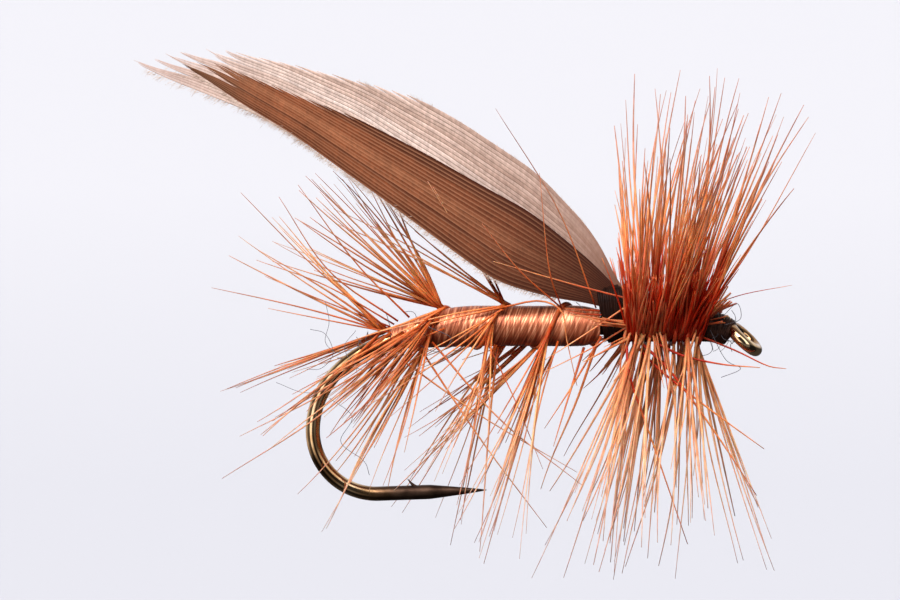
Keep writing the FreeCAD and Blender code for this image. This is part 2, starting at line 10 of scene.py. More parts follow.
import bpy
import numpy as np
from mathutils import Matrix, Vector


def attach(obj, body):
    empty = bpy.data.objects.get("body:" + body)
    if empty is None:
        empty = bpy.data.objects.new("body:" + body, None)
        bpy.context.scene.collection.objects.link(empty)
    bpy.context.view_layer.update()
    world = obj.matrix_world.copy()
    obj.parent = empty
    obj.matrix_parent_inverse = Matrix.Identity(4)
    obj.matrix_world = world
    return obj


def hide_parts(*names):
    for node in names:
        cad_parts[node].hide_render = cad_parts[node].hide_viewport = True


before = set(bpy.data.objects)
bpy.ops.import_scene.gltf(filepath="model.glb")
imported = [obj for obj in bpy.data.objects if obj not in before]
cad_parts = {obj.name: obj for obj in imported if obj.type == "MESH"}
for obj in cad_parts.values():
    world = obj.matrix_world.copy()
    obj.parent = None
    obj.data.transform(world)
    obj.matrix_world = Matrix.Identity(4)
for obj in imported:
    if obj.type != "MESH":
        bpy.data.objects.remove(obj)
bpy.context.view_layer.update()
MM = 0.001
chance = np.random.default_rng(31)

# ---- the hook's line, as in the CAD ----

WIRE_RADIUS = 0.19
EYE_WIRE_RADIUS = 0.16
EYE_RING_RADIUS = 0.44
EYE_TILT = math.radians(42)
EYE_TWIST = math.radians(4)  # the far side of the ring sits a little high
NECK_RADIUS = 0.3
SHANK_RISE = 0.34
SHANK_BACK = 6.92
BEND = ((7.5, 20.5), (3.18, 25.0), (2.26, 44.5), (1.68, 92.0))  # (radius, degrees) of each arc
SPEAR_LENGTH = 1.35
POINT_LENGTH = 1.5

# ---- small helpers ----

NEAR = np.array([0.0, -1.0, 0.0])
FAR = np.array([0.0, 1.0, 0.0])


def unit(vectors):
    vectors = np.asarray(vectors, float)
    return vectors / np.maximum(np.linalg.norm(vectors, axis=-1, keepdims=True), 1e-12)


def added(name, data):
    """A new object in the scene."""
    thing = bpy.data.objects.new(name, data)
    bpy.context.scene.collection.objects.link(thing)
    return thing


def new_piece(name, vertices, faces, material, slot, nodes=(), **attributes):
    """A mesh piece in the frame. attributes are values for each vertex that its material reads."""
    mesh = bpy.data.meshes.new(name)
    mesh.from_pydata((np.asarray(vertices) * MM).tolist(), [], faces)
    for key, values in attributes.items():
        layer = mesh.attributes.new(key, "FLOAT", "POINT")
        layer.data.foreach_set("value", np.asarray(values, np.float32).ravel())
    mesh.shade_smooth()
    mesh.materials.append(material)
    piece = added(name, mesh)
    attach(piece, "root")
    if nodes:
        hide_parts(*nodes)
    return piece


def sweep(paths, first, second, profile, widths, depths):
    """Closed bodies along paths (count, steps, 3). Each ring is the profile's (across, out) points, along
    the directions first and second, times the ring's width and depth."""
    count, steps, _ = paths.shape
    profile = np.asarray(profile, float)
    across = first[:, :, None] * (profile[:, 0] * widths[..., None])[..., None]
    across = across + second[:, :, None] * (profile[:, 1] * depths[..., None])[..., None]
    vertices = (paths[:, :, None] + across).reshape(-1, 3)
    index = np.arange(len(vertices)).reshape(count, steps, len(profile))
    if (np.cross(first, second) * np.gradient(paths, axis=1)).sum() < 0:
        index = index[:, :, ::-1]
    after = np.roll(index, -1, axis=2)
    quads = np.stack([index[:, :-1], after[:, :-1], after[:, 1:], index[:, 1:]], axis=-1).reshape(-1, 4)
    caps = np.concatenate([index[:, 0, ::-1], index[:, -1]])
    return vertices, quads.tolist() + caps.tolist()


def tubes(paths, radii, sides=6, normals=None):
    """Round closed tubes along paths. normals says which way each ring's first point lies."""
    tangents = unit(np.gradient(paths, axis=1))
    if normals is None:
        whole = unit(paths[:, -1] - paths[:, 0])
        normals = np.cross(whole, unit(chance.normal(size=(len(paths), 3))))[:, None, :]
    normals = np.broadcast_to(normals, paths.shape)
    first = unit(normals - (normals * tangents).sum(-1, keepdims=True) * tangents)
    turns = 2 * math.pi * np.arange(sides) / sides
    circle = np.stack([np.cos(turns), np.sin(turns)], -1)
    return sweep(paths, first, np.cross(tangents, first), circle, radii, radii)


def spline(points, count):
    """A smooth line through given points (Catmull-Rom), sampled evenly in its parameter."""
    points = np.asarray(points, float)
    padded = np.vstack([2 * points[0] - points[1], points, 2 * points[-1] - points[-2]])
    at = np.linspace(0, len(points) - 1 - 1e-9, count)
    i, t = at.astype(int), (at % 1)[:, None]
    a, b, c, d = padded[i], padded[i + 1], padded[i + 2], padded[i + 3]
    return 0.5 * (2 * b + (c - a) * t + (2 * a - 5 * b + 4 * c - d) * t**2 + (3 * b - a - 3 * c + d) * t**3)


def eased(at, places, values, reach=0.5):
    """Values between stations, averaged over a short reach so that no kink is left."""
    shifts = np.linspace(-reach, reach, 9)
    return np.mean([np.interp(at + shift, places, values) for shift in shifts], axis=0)


def sampled(at, places, points):
    """Points between the points of a line, which lie at places along it."""
    return np.stack([np.interp(at, places, column) for column in points.T], -1)


def smoothstep(x):
    x = np.clip(x, 0, 1)
    return x * x * (3 - 2 * x)


def streaks(at, spacing):
    """Random values from 0 to 1 that change about once every spacing."""
    at = (at - at.min()) / spacing
    return np.interp(at, np.arange(int(at.max()) + 2), chance.random(int(at.max()) + 2))


def on_shank(behind):
    """The wire's middle, and the forward and upward directions, behind mm back from the eye along the shank
    and the bend's first arc."""
    behind = np.asarray(behind, float)
    radius = BEND[0][0]
    angle = np.maximum(0, behind - SHANK_BACK) / radius
    zero = np.zeros_like(behind)
    drop = radius * (1 - np.cos(angle))
    back = np.minimum(behind, SHANK_BACK) + radius * np.sin(angle)
    centre = np.stack([-back, zero, SHANK_RISE - drop], -1)
    forward = np.stack([np.cos(angle), zero, np.sin(angle)], -1)
    return centre, forward, np.stack([-np.sin(angle), zero, np.cos(angle)], -1)


def outward(upward, angle):
    """Directions away from the shank; angle runs from the top to the near side."""
    angle = np.asarray(angle, float)[..., None]
    return upward * np.cos(angle) + NEAR * np.sin(angle)


def within_a_turn(angle):
    """The same angles, between half a turn back and half a turn on."""
    return (angle + math.pi) % (2 * math.pi) - math.pi


def fanned(angle, split, above, below):
    """Angles round the shank gathered into a fan above it, up to split degrees to each side, and another
    below it. above and below are how far each fan spreads, as a share of the angles that it takes in."""
    angle = within_a_turn(angle)
    size = np.abs(angle)
    lower = math.pi - (math.pi - size) * below
    return np.sign(angle) * np.where(size < math.radians(split), size * above, lower)


def around(behind, angle, radius):
    """Points beside the shank."""
    centre, _, upward = on_shank(behind)
    return centre + outward(upward, angle) * np.asarray(radius, float)[..., None]


# ---- materials ----

WING_LENGTH = 14.0  # mm, about, from the wing's root to its tip
SHAFT_REACH = 8.0  # mm from the root; the painted light and shade on the barbs' shafts grows over the first 0.6 of it


class Nodes:
    """Short ways to make the nodes of one tree."""

    def __init__(self, tree):
        self.tree = tree

    def node(self, kind, inputs=None, **settings):
        """A node with its inputs, which are values or other nodes' outputs."""
        made = self.tree.nodes.new(kind)
        for key, value in settings.items():
            setattr(made, key, value)
        for key, value in (inputs or {}).items():
            if isinstance(value, bpy.types.NodeSocket):
                self.tree.links.new(value, made.inputs[key])
            else:
                made.inputs[key].default_value = value
        return made

    def value(self, attribute):
        return self.node("ShaderNodeAttribute", attribute_name=attribute).outputs["Fac"]

    def ramp(self, factor, *stops):
        """Colours between stops (position, colour)."""
        made = self.node("ShaderNodeValToRGB", {"Fac": factor})
        elements = made.color_ramp.elements
        while len(elements) < len(stops):
            elements.new(0.5)
        for element, (position, colour) in zip(elements, stops):
            element.position = position
            element.color = (*colour, 1)
        return made.outputs["Color"]

    def greys(self, factor, *stops):
        """Greys between stops (position, brightness)."""
        return self.ramp(factor, *((position, (grey, grey, grey)) for position, grey in stops))

    def mix(self, factor, one, other, blend="MIX"):
        one, other = (c if isinstance(c, bpy.types.NodeSocket) else (*c, 1) for c in (one, other))
        wanted = {0: factor, 6: one, 7: other}
        return self.node("ShaderNodeMix", wanted, data_type="RGBA", blend_type=blend).outputs[2]

    def times(self, one, other):
        return self.node("ShaderNodeMath", {0: one, 1: other}, operation="MULTIPLY").outputs[0]

    def noise(self, scale, detail, stretch=(1, 1, 1), roughness=0.5):
        """Noise in the frame's coordinates, with scale in cycles per metre."""
        place = self.node("ShaderNodeTexCoord").outputs["Object"]
        mapped = self.node("ShaderNodeMapping", {"Vector": place, "Scale": stretch}).outputs["Vector"]
        wanted = {"Vector": mapped, "Scale": scale, "Detail": detail, "Roughness": roughness}
        return self.node("ShaderNodeTexNoise", wanted).outputs["Fac"]


class Shader(Nodes):
    """A material with a Principled shader, whose sockets are filled by name."""

    def __init__(self, name, **sockets):
        self.material = bpy.data.materials.new(name)
        self.material.use_nodes = True
        super().__init__(self.material.node_tree)
        self.shader = self.tree.nodes["Principled BSDF"]
        for socket, value in sockets.items():
            self.shader.inputs[socket.replace("_", " ")].default_value = value

    def link(self, output, socket):
        self.tree.links.new(output, self.shader.inputs[socket])

    def bump(self, height, distance, strength):
        """distance is in mm."""
        wanted = {"Height": height, "Distance": distance * MM, "Strength": strength}
        self.link(self.node("ShaderNodeBump", wanted).outputs["Normal"], "Normal")


def bronze_material():
    """Lacquered bronze wire, duller and browner on the spear where it has been ground."""
    m = Shader("bronzed_wire", Metallic=1.0)
    brown, bronze, gold = (0.19, 0.09, 0.036), (0.46, 0.27, 0.12), (0.82, 0.6, 0.35)
    colour = m.ramp(m.noise(700, 5), (0.32, brown), (0.5, bronze), (0.68, gold))
    worn = m.value("worn")
    ground = m.ramp(m.noise(3500, 5), (0.3, (0.028, 0.015, 0.01)), (0.8, (0.095, 0.054, 0.036)))
    m.link(m.mix(worn, colour, ground), "Base Color")
    gloss = m.greys(m.noise(2600, 5), (0.3, 0.05), (0.8, 0.14))
    m.link(m.mix(worn, gloss, (0.5, 0.5, 0.5)), "Roughness")
    m.bump(m.noise(9000, 3, (0.3, 1, 1)), 0.003, 0.3)
    return m.material


def floss_material():
    """Shiny floss, soiled in patches, with painted shade between its strands and on its underside."""
    m = Shader("copper_floss", Metallic=0.6, Roughness=0.42)
    # painted shade and highlight: the sunken strands get the darkest colour and the raised ones the lightest
    between, flank, crown_highlight = (0.21, 0.046, 0.016), (0.47, 0.132, 0.056), (0.86, 0.4, 0.22)
    strands = m.ramp(m.value("strand"), (0.2, between), (0.5, flank), (0.8, crown_highlight))
    soiled = m.ramp(m.noise(700, 4), (0.35, (0.74, 0.6, 0.54)), (0.62, (1.0, 1.0, 1.0)))
    colour = m.mix(0.8, strands, soiled, "MULTIPLY")
    # painted shade: the colour is darkened towards the underside, darkest straight underneath
    underside_shade = m.greys(m.value("under"), (0.5, 0.0), (0.85, 0.85))
    m.link(m.mix(underside_shade, colour, (0.5, 0.36, 0.32), "MULTIPLY"), "Base Color")
    m.bump(m.noise(20000, 2, (1, 0.12, 0.12)), 0.01, 0.8)
    return m.material


def thread_material(name, dark, light, roughness):
    m = Shader(name, Roughness=roughness, Specular_IOR_Level=0.07)
    m.link(m.ramp(m.noise(5200, 4), (0.3, dark), (0.75, light)), "Base Color")
    m.bump(m.noise(22000, 3), 0.006, 0.7)
    return m.material


def barb_material(name, dark_places, dark, light_places, light):
    """Glossy hackle: colours of the dark and the light barbs at places along them; tone blends the two."""
    m = Shader(
        name, Roughness=0.42, Specular_IOR_Level=0.16, Subsurface_Weight=0.5, Subsurface_Scale=0.08 * MM
    )
    along, tone = m.value("along"), m.value("tone")
    colour = m.mix(tone, m.ramp(along, *zip(dark_places, dark)), m.ramp(along, *zip(light_places, light)))
    mottles = m.ramp(m.noise(3000, 3), (0.3, (0.6, 0.5, 0.46)), (0.65, (1.1, 1.1, 1.1)))
    m.link(m.mix(0.75, colour, mottles, "MULTIPLY"), "Base Color")
    m.bump(m.noise(16000, 2), 0.004, 0.4)
    return m.material


def wing_material(name, tones, root, rib_shading, tip, fleck, rooted):
    """Matt quill: each barb has a tone of its own, painted light and shade along its shaft, and fine slanting
    barbules.
    The root's colour fades out over rooted mm, and the tip's comes in near the end."""
    m = Shader(name, Roughness=0.7, Specular_IOR_Level=0.06)
    colour = m.ramp(m.value("tone"), *zip((0.0, 0.5, 1.0), tones))
    flecks = m.ramp(m.noise(1300, 6, roughness=0.72), (0.36, fleck), (0.62, (1.1, 1.08, 1.06)))
    colour = m.mix(0.8, colour, flecks, "MULTIPLY")
    barbules = m.greys(m.noise(12000, 2, (1, 1, 0.4)), (0.35, 0.78), (0.65, 1.12))
    colour = m.mix(0.8, colour, barbules, "MULTIPLY")
    reach = m.value("reach")
    rootward = m.greys(m.times(reach, 1 / rooted), (0.0, 0.97), (0.25, 0.6), (0.55, 0.3), (1.0, 0.0))
    colour = m.mix(rootward, colour, root)
    tipward = m.greys(m.times(reach, 1 / WING_LENGTH), (0.74, 0.0), (0.93, 0.75))
    colour = m.mix(tipward, colour, tip)
    # painted light and shade along the shafts: a highlight on the near slip, darker ribs on the far one
    rib_shading_shown = m.greys(m.times(reach, 1 / SHAFT_REACH), (0.0, 0.1), (0.6, 0.42))
    colour = m.mix(m.times(m.value("ridge"), rib_shading_shown), colour, rib_shading)
    m.link(colour, "Base Color")
    m.bump(m.noise(24000, 3, (1, 0.5, 0.35)), 0.008, 0.9)
    return m.material


def fibre_material(name, roughness, scale, dark, light):
    m = Shader(name, Roughness=roughness)
    m.link(m.ramp(m.noise(scale, 2), (0.3, dark), (0.8, light)), "Base Color")
    return m.material


BRONZE = bronze_material()
FLOSS = floss_material()
THREAD = thread_material("tying_thread", (0.005, 0.0015, 0.001), (0.02, 0.006, 0.003), 0.55)
HEAD_THREAD = thread_material("head_thread", (0.012, 0.005, 0.004), (0.05, 0.02, 0.012), 0.3)
COLLAR = barb_material(
    "collar_hackle",
    (0.0, 0.25, 0.44, 1.0),
    ((0.28, 0.008, 0.002), (0.51, 0.028, 0.004), (0.74, 0.24, 0.062), (0.37, 0.175, 0.132)),
    (0.0, 0.25, 0.6, 1.0),
    ((0.64, 0.225, 0.08), (0.79, 0.365, 0.16), (0.8, 0.435, 0.26), (0.52, 0.325, 0.275)),
)
PALMER = barb_material(
    "body_hackle",
    (0.0, 0.2, 0.55, 1.0),
    ((0.3, 0.022, 0.003), (0.47, 0.095, 0.02), (0.42, 0.135, 0.055), (0.21, 0.1, 0.09)),
    (0.0, 0.25, 0.6, 1.0),
    ((0.62, 0.14, 0.024), (0.8, 0.34, 0.115), (0.78, 0.43, 0.24), (0.56, 0.36, 0.3)),
)
NEAR_WING = wing_material(
    "near_quill",
    tones=((0.045, 0.009, 0.003), (0.158, 0.043, 0.016), (0.32, 0.13, 0.063)),
    root=(0.03, 0.0075, 0.005),
    rib_shading=(0.45, 0.205, 0.11),
    tip=(0.088, 0.052, 0.031),
    fleck=(0.7, 0.66, 0.63),
    rooted=8.0,
)
FAR_WING = wing_material(
    "far_quill",
    tones=((0.4, 0.265, 0.205), (0.64, 0.475, 0.4), (0.78, 0.645, 0.58)),
    root=(0.17, 0.075, 0.048),
    rib_shading=(0.32, 0.19, 0.14),
    tip=(0.37, 0.27, 0.24),
    fleck=(0.84, 0.81, 0.79),
    rooted=6.0,
)
WING_FLUFF = fibre_material("wing_fluff", 0.7, 2400, (0.44, 0.29, 0.21), (0.76, 0.61, 0.51))
FUZZ = fibre_material("loose_fibre", 0.6, 2000, (0.03, 0.028, 0.035), (0.14, 0.12, 0.13))

# ---- hook ----

WIRE_SIDES = 40
NECK_CORNER = SHANK_RISE / math.tan(EYE_TILT)  # how far behind the eye its line meets the shank's
WIRE_LENGTH = 23.0  # about, from the point to the end of the eye
GROUND_LENGTH, GROUND_FADE = 2.4, 2.0  # the ground end of the spear, and over how far it turns bright
HOOK_BARB_RADII = (0.09, 0.008)  # at its root and its tip
HOOK_BARB = ((-8.4, 0, -4.06), (-8.6, 0, -3.99), (-8.74, 0, -3.88), (-8.85, 0, -3.75))


def ring_plane(out, side):
    """A point in the eye's plane: out runs forward and down from the eye's centre, side runs along Y."""
    rise = side * math.sin(EYE_TWIST)
    return np.array([
        out * math.cos(EYE_TILT) + rise * math.sin(EYE_TILT),
        side * math.cos(EYE_TWIST),
        -out * math.sin(EYE_TILT) + rise * math.cos(EYE_TILT),
    ])


def bent_wire():
    """Points along the wire from the neck back to the needle point."""
    start = -NECK_CORNER - NECK_RADIUS * math.tan(EYE_TILT / 2)
    here, heading = np.array([start, 0.0, SHANK_RISE]), math.pi
    line = [here]
    runs = [(SHANK_BACK + start, None), *BEND, (SPEAR_LENGTH + POINT_LENGTH, None)]
    steps = 60
    for size, turn in runs:
        for _ in range(steps):
            if turn is None:
                here = here + np.array([math.cos(heading), 0, math.sin(heading)]) * size / steps
            else:
                turned = heading + math.radians(turn) / steps
                move = [math.sin(turned) - math.sin(heading), 0, math.cos(heading) - math.cos(turned)]
                here, heading = here + size * np.array(move), turned
            line.append(here)
    return np.array(line)


def hook_line(count):
    """Even points along the wire from the needle point to the eye's end, and the wire's radius at each."""
    spear = bent_wire()[::-1]
    # past the neck the wire thins and loops once round the eye, and its cut end lies against the neck
    loop = [ring_plane(-0.74, 0.0), ring_plane(-0.6, 0.015), ring_plane(-0.485, 0.075)]
    for degrees in range(146, -172, -18):
        angle = math.radians(degrees)
        loop.append(ring_plane(EYE_RING_RADIUS * math.cos(angle), EYE_RING_RADIUS * math.sin(angle)))
    loop = spline([spear[-6], spear[-1], *loop], 150)[12:]
    line = np.vstack([spear[:-1], loop])
    reach = np.concatenate([[0], np.cumsum(np.linalg.norm(np.diff(line, axis=0), axis=1))])
    radius = WIRE_RADIUS * (0.04 + 0.96 * np.clip(reach / POINT_LENGTH, 0, 1) ** 0.85)
    neck = reach[len(spear) - 1] - 0.1
    radius = radius + (EYE_WIRE_RADIUS - WIRE_RADIUS) * np.clip((reach - neck) / 0.5, 0, 1)
    at = np.linspace(0, reach[-1], count)
    return sampled(at, reach, line), np.interp(at, reach, radius)


def make_hook():
    line, radius = hook_line(900)
    normals = np.array(line)
    side = FAR
    for i, tangent in enumerate(unit(np.gradient(line, axis=0))):
        side = unit(side - (side @ tangent) * tangent)  # carried along the wire without twist
        normals[i] = side
    wire, faces = tubes(line[None], radius[None], WIRE_SIDES, normals[None])
    barb, barb_faces = tubes(spline(HOOK_BARB, 12)[None], np.linspace(*HOOK_BARB_RADII, 12)[None], 10, FAR)
    faces = faces + [[i + len(wire) for i in face] for face in barb_faces]
    reach = np.linspace(0, 1, len(line)) * WIRE_LENGTH
    ground = 1 - smoothstep((reach - GROUND_LENGTH) / GROUND_FADE)
    worn = np.concatenate([np.repeat(ground, WIRE_SIDES), np.ones(len(barb))])
    new_piece("hook_wire", np.vstack([wire, barb]), faces, BRONZE, "bronzed_wire", ["hook"], worn=worn)


# ---- thread, floss and quills ----

BODY_FRONT, BODY_END = 3.79, SHANK_BACK + BEND[0][0] * math.radians(18)
BODY_DIA = 1.08
BODY_PLACES = (3.79, 3.98, 4.35, 5.67, 6.92, 7.51, 8.1, 8.69, 9.28)  # behind the eye
BODY_FULLNESS = (0.74, 0.93, 1.0, 0.98, 0.99, 0.98, 0.9, 0.72, 0.5)  # share of BODY_DIA at each place
QUILL_RADIUS = 0.06
PALMER_TOP, PALMER_PITCH, PALMER_TURNS = 4.71, 1.58, 4
PALMER_ENDS = (3.95, 9.5)
COLLAR_BACK, COLLAR_FRONT, COLLAR_DIA, COLLAR_TURNS = 3.1, 0.98, 0.84, 6
COLLAR_ENDS = (1.05, 3.03)
BED_ENDS = (1.1, 3.1)
COLLAR_ROOT = COLLAR_DIA / 2 + QUILL_RADIUS
THREAD_RADIUS = 0.036  # on the collar and the head
THREAD_PITCH = 0.058
THREAD_SINK = 0.03  # how far the middle of the head's thread lies below the head's surface
# The middle of the head, from the collar down to the eye, and its radius at shares of the way
HEAD_CORE = ((-1.02, 0, 0.33), (-0.8, 0, 0.31), (-0.56, 0, 0.24), (-0.35, 0, 0.12))
HEAD_SHARES, HEAD_RADII = (0, 0.5, 0.85, 1), (0.4, 0.4, 0.37, 0.3)
BINDING_THREAD = 0.042
BINDING_HALF = (0.46, 0.74)  # of the binding's oval, across and up
BINDING_MIDDLE = SHANK_RISE + 0.32
QUILL_SHADE = 0.12  # the quills' place in their materials' ramps and tones


def body_radius(behind):
    return eased(behind, BODY_PLACES, np.array(BODY_FULLNESS) * BODY_DIA / 2, 0.25)


def palmer_angle(behind):
    return 2 * math.pi * (behind - PALMER_TOP) / PALMER_PITCH


def collar_angle(behind):
    return 2 * math.pi * COLLAR_TURNS * (behind - COLLAR_ENDS[0]) / (COLLAR_ENDS[1] - COLLAR_ENDS[0])


def make_floss(rings=900, sides=96, slant=0.26, relief=0.014):
    """Floss wound side by side: each strand stands a little above or below the next."""
    behind, angle = np.meshgrid(
        np.linspace(BODY_FRONT, BODY_END, rings), 2 * math.pi * np.arange(sides) / sides, indexing="ij"
    )
    lay = behind + slant * np.cos(angle)
    crossing = behind + 0.6 * slant * np.cos(angle) + 0.05 * np.sin(2 * angle)
    strand = 0.5 * streaks(lay, 0.02) + 0.4 * streaks(crossing, 0.034) + 0.1 * streaks(lay, 0.2)
    radius = body_radius(behind) + relief * (strand - 0.5)
    vertices = around(behind, -angle, radius).reshape(-1, 3)
    index = np.arange(rings * sides).reshape(rings, sides)
    after = np.roll(index, -1, axis=1)
    quads = np.stack([index[:-1], after[:-1], after[1:], index[1:]], axis=-1).reshape(-1, 4).tolist()
    faces = quads + [index[0, ::-1].tolist(), index[-1].tolist()]
    # 0 on top to 1 underneath: where the floss material paints shade on the underside
    under = (1 - np.cos(angle)) / 2
    new_piece(
        "floss_winding", vertices, faces, FLOSS, "copper_floss", ["floss_body"], strand=strand, under=under
    )


def make_winding(name, node, slot, material, thickness, behind, angle, radius):
    """One thread or quill wound round the shank."""
    line = around(behind, angle, radius)
    outwards = line - on_shank(behind)[0]
    vertices, faces = tubes(line[None], np.full((1, len(line)), thickness), 10, outwards[None])
    steady = np.full(len(vertices), QUILL_SHADE)
    new_piece(name, vertices, faces, material, slot, [node], along=steady, tone=steady)


def make_windings():
    behind = np.linspace(*PALMER_ENDS, 260)
    angle, radius = palmer_angle(behind), body_radius(behind) + 0.7 * QUILL_RADIUS
    quill = ("body_hackle_quill", "palmer_hackle_stem", "body_hackle", PALMER, QUILL_RADIUS)
    make_winding(*quill, behind, angle, radius)
    behind = np.linspace(*COLLAR_ENDS, 420)
    quill = ("collar_hackle_quill", "collar_hackle_stem", "collar_hackle", COLLAR, QUILL_RADIUS)
    make_winding(*quill, behind, collar_angle(behind), COLLAR_ROOT)
    behind = np.linspace(COLLAR_FRONT, COLLAR_BACK, 1000)
    angle, radius = 2 * math.pi * (behind - COLLAR_FRONT) / THREAD_PITCH, COLLAR_DIA / 2 - THREAD_RADIUS
    wraps = ("collar_thread_wraps", "collar_thread_base", "tying_thread", THREAD, THREAD_RADIUS)
    make_winding(*wraps, behind, angle, radius)


def make_head():
    """Thread wound down the neck towards the eye and back, with the last turns crossing the first."""
    share = np.concatenate([np.linspace(0, 1, 520), np.linspace(1, 0, 300)])
    turns = np.concatenate([np.linspace(0, 13, 520), np.linspace(13, 19.5, 300)])
    core = spline(HEAD_CORE, 200)
    places = np.linspace(0, 1, len(core))
    heading = unit(sampled(share, places, np.gradient(core, axis=0)))
    upward = unit(np.cross(heading, NEAR))
    outwards = outward(upward * np.sign(upward[:, 2:]), 2 * math.pi * turns)
    radius = np.interp(share, HEAD_SHARES, HEAD_RADII) - THREAD_SINK
    line = sampled(share, places, core) + outwards * radius[:, None]
    vertices, faces = tubes(line[None], np.full((1, len(line)), THREAD_RADIUS), 10, outwards[None])
    new_piece("head_wraps", vertices, faces, HEAD_THREAD, "tying_thread", ["head_thread"])


def make_binding():
    """Thread wound over the wing's roots: an oval coil round the shank and the slips, with crossing turns."""
    first, second, last = 12, 13.2, 15.4  # turns at the end of the coil, of the way back, and of the crossing
    turns = np.linspace(0, last, 900)
    share = np.interp(turns, [0, first, second, last], [0.02, 0.98, 0.15, 0.85])
    over = 0.02 * np.clip(turns - first, 0, 1)
    behind = BODY_FRONT - 0.03 - share * (BODY_FRONT - COLLAR_BACK - 0.06)
    waist = 1 - 0.16 * (2 * share - 1) ** 2
    angle = 2 * math.pi * turns
    half_across, half_up = BINDING_HALF
    bulge = np.sign(np.sin(angle)) * np.abs(np.sin(angle)) ** 0.8
    up = BINDING_MIDDLE + (half_up * waist + over) * np.cos(angle)
    slant = 0.1 * np.cos(angle) * (1 - share)
    line = np.stack([-behind - slant, -(half_across * waist + over) * bulge, up], -1)
    outwards = line - np.array([0, 0, BINDING_MIDDLE])
    outwards[:, 0] = 0
    vertices, faces = tubes(line[None], np.full((1, len(line)), BINDING_THREAD), 10, outwards[None])
    new_piece("wing_binding_wraps", vertices, faces, THREAD, "tying_thread", ["wing_binding_thread"])


# ---- wing ----

WING_ROOT = np.array([-3.5, 0.0, 1.4])
WING_RISE = math.radians(27)
WING_OUT = np.array([-math.cos(WING_RISE), 0, math.sin(WING_RISE)])
WING_UP = np.array([math.sin(WING_RISE), 0, math.cos(WING_RISE)])
WING_CAMBER = 0.12
# How the barbs flow: (distance from the root, lower edge, upper edge, and how far each stands out sideways)
NEAR_FLOW = (
    (-0.35, -0.52, -0.06, 0.16, 0.16),
    (0.3, -0.62, 0.22, 0.22, 0.14),
    (1.2, -0.9, 0.46, 0.48, 0.12),
    (2.8, -1.16, 0.79, 0.86, 0.12),
    (6.0, -0.62, 0.92, 0.86, 0.14),
    (9.2, -0.12, 0.98, 0.7, 0.16),
    (12.7, 0.1, 1.1, 0.42, 0.3),
)
FAR_FLOW = (
    (-0.35, -0.5, -0.04, 0.16, 0.16),
    (0.3, -0.6, 0.52, 0.22, 0.2),
    (1.2, -0.9, 1.08, 0.44, 0.3),
    (3.0, -1.24, 1.72, 0.72, 0.36),
    (5.5, -0.92, 2.04, 0.78, 0.4),
    (8.0, -0.42, 2.1, 0.74, 0.4),
    (10.2, -0.26, 1.88, 0.66, 0.4),
    (13.8, -0.5, 1.3, 0.48, 0.42),
)
# Tips of the clumps of barbs, from the lower edge up: (distance from the root, height, barbs in the clump,
# and how far back from its tip the clump starts to close)
NEAR_TIPS = ((12.78, 0.2, 5, 2.4), (12.4, 0.42, 3, 1.4), (12.1, 0.6, 3, 1.1))
FAR_TIPS = (
    (13.95, -0.42, 4, 2.2),
    (13.53, -0.14, 3, 1.9),
    (13.27, 0.11, 3, 1.7),
    (13.03, 0.33, 3, 1.5),
    (12.3, 0.7, 3, 1.0),
    (12.0, 0.9, 2, 0.8),
)
# The single barbs above the clumps: (how many, reach of the first, and how much shorter each next one is)
NEAR_SINGLES, FAR_SINGLES = (7, 11.5, 0.5), (10, 11.6, 0.5)
SINGLE_CLOSING = 0.9
# A barb's section, with a rounded shaft and a thin vane that hooks under the next barb: places across as
# shares of the barbs' spacing, heights in mm, and how much of the painted shaft shading each point shows
BARB_ACROSS = (-0.5, -0.44, -0.3, -0.18, 0.1, 0.66, 0.66, 0.1, -0.18, -0.3, -0.44)
BARB_HEIGHT = (0.0, 0.013, 0.018, 0.013, 0.008, 0.004, -0.004, -0.006, -0.009, -0.012, -0.009)
BARB_RIDGE = (0.3, 1.0, 1.0, 0.4, 0.1, 0.0, 0.0, 0.1, 0.4, 1.0, 1.0)
SLIP_STEPS = 170
NEAR_TONES = (0.3, 0.42, 0.5, 0.55, 0.5, 0.3, 0.05)  # of the barbs, from the lower edge up; the near slip's last ones are painted shade, where its upper edge turns away
FAR_TONES = (0.55, 0.6, 0.7, 0.5, 0.3)
# Loose barbules along the edges: (barb, how many, from and to as shares of its length, way across, length)
NEAR_FRINGE = ((0, 1800, 0.12, 0.99, -1, 0.17), (1, 200, 0.4, 0.98, -1, 0.22), (-1, 120, 0.6, 0.99, 1, 0.12))
FAR_FRINGE = (
    (0, 420, 0.5, 0.99, -1, 0.2),
    (-1, 260, 0.2, 0.99, 1, 0.1),
    (-4, 120, 0.6, 0.99, 1, 0.1),
    (4, 90, 0.8, 0.98, -1, 0.16),
)


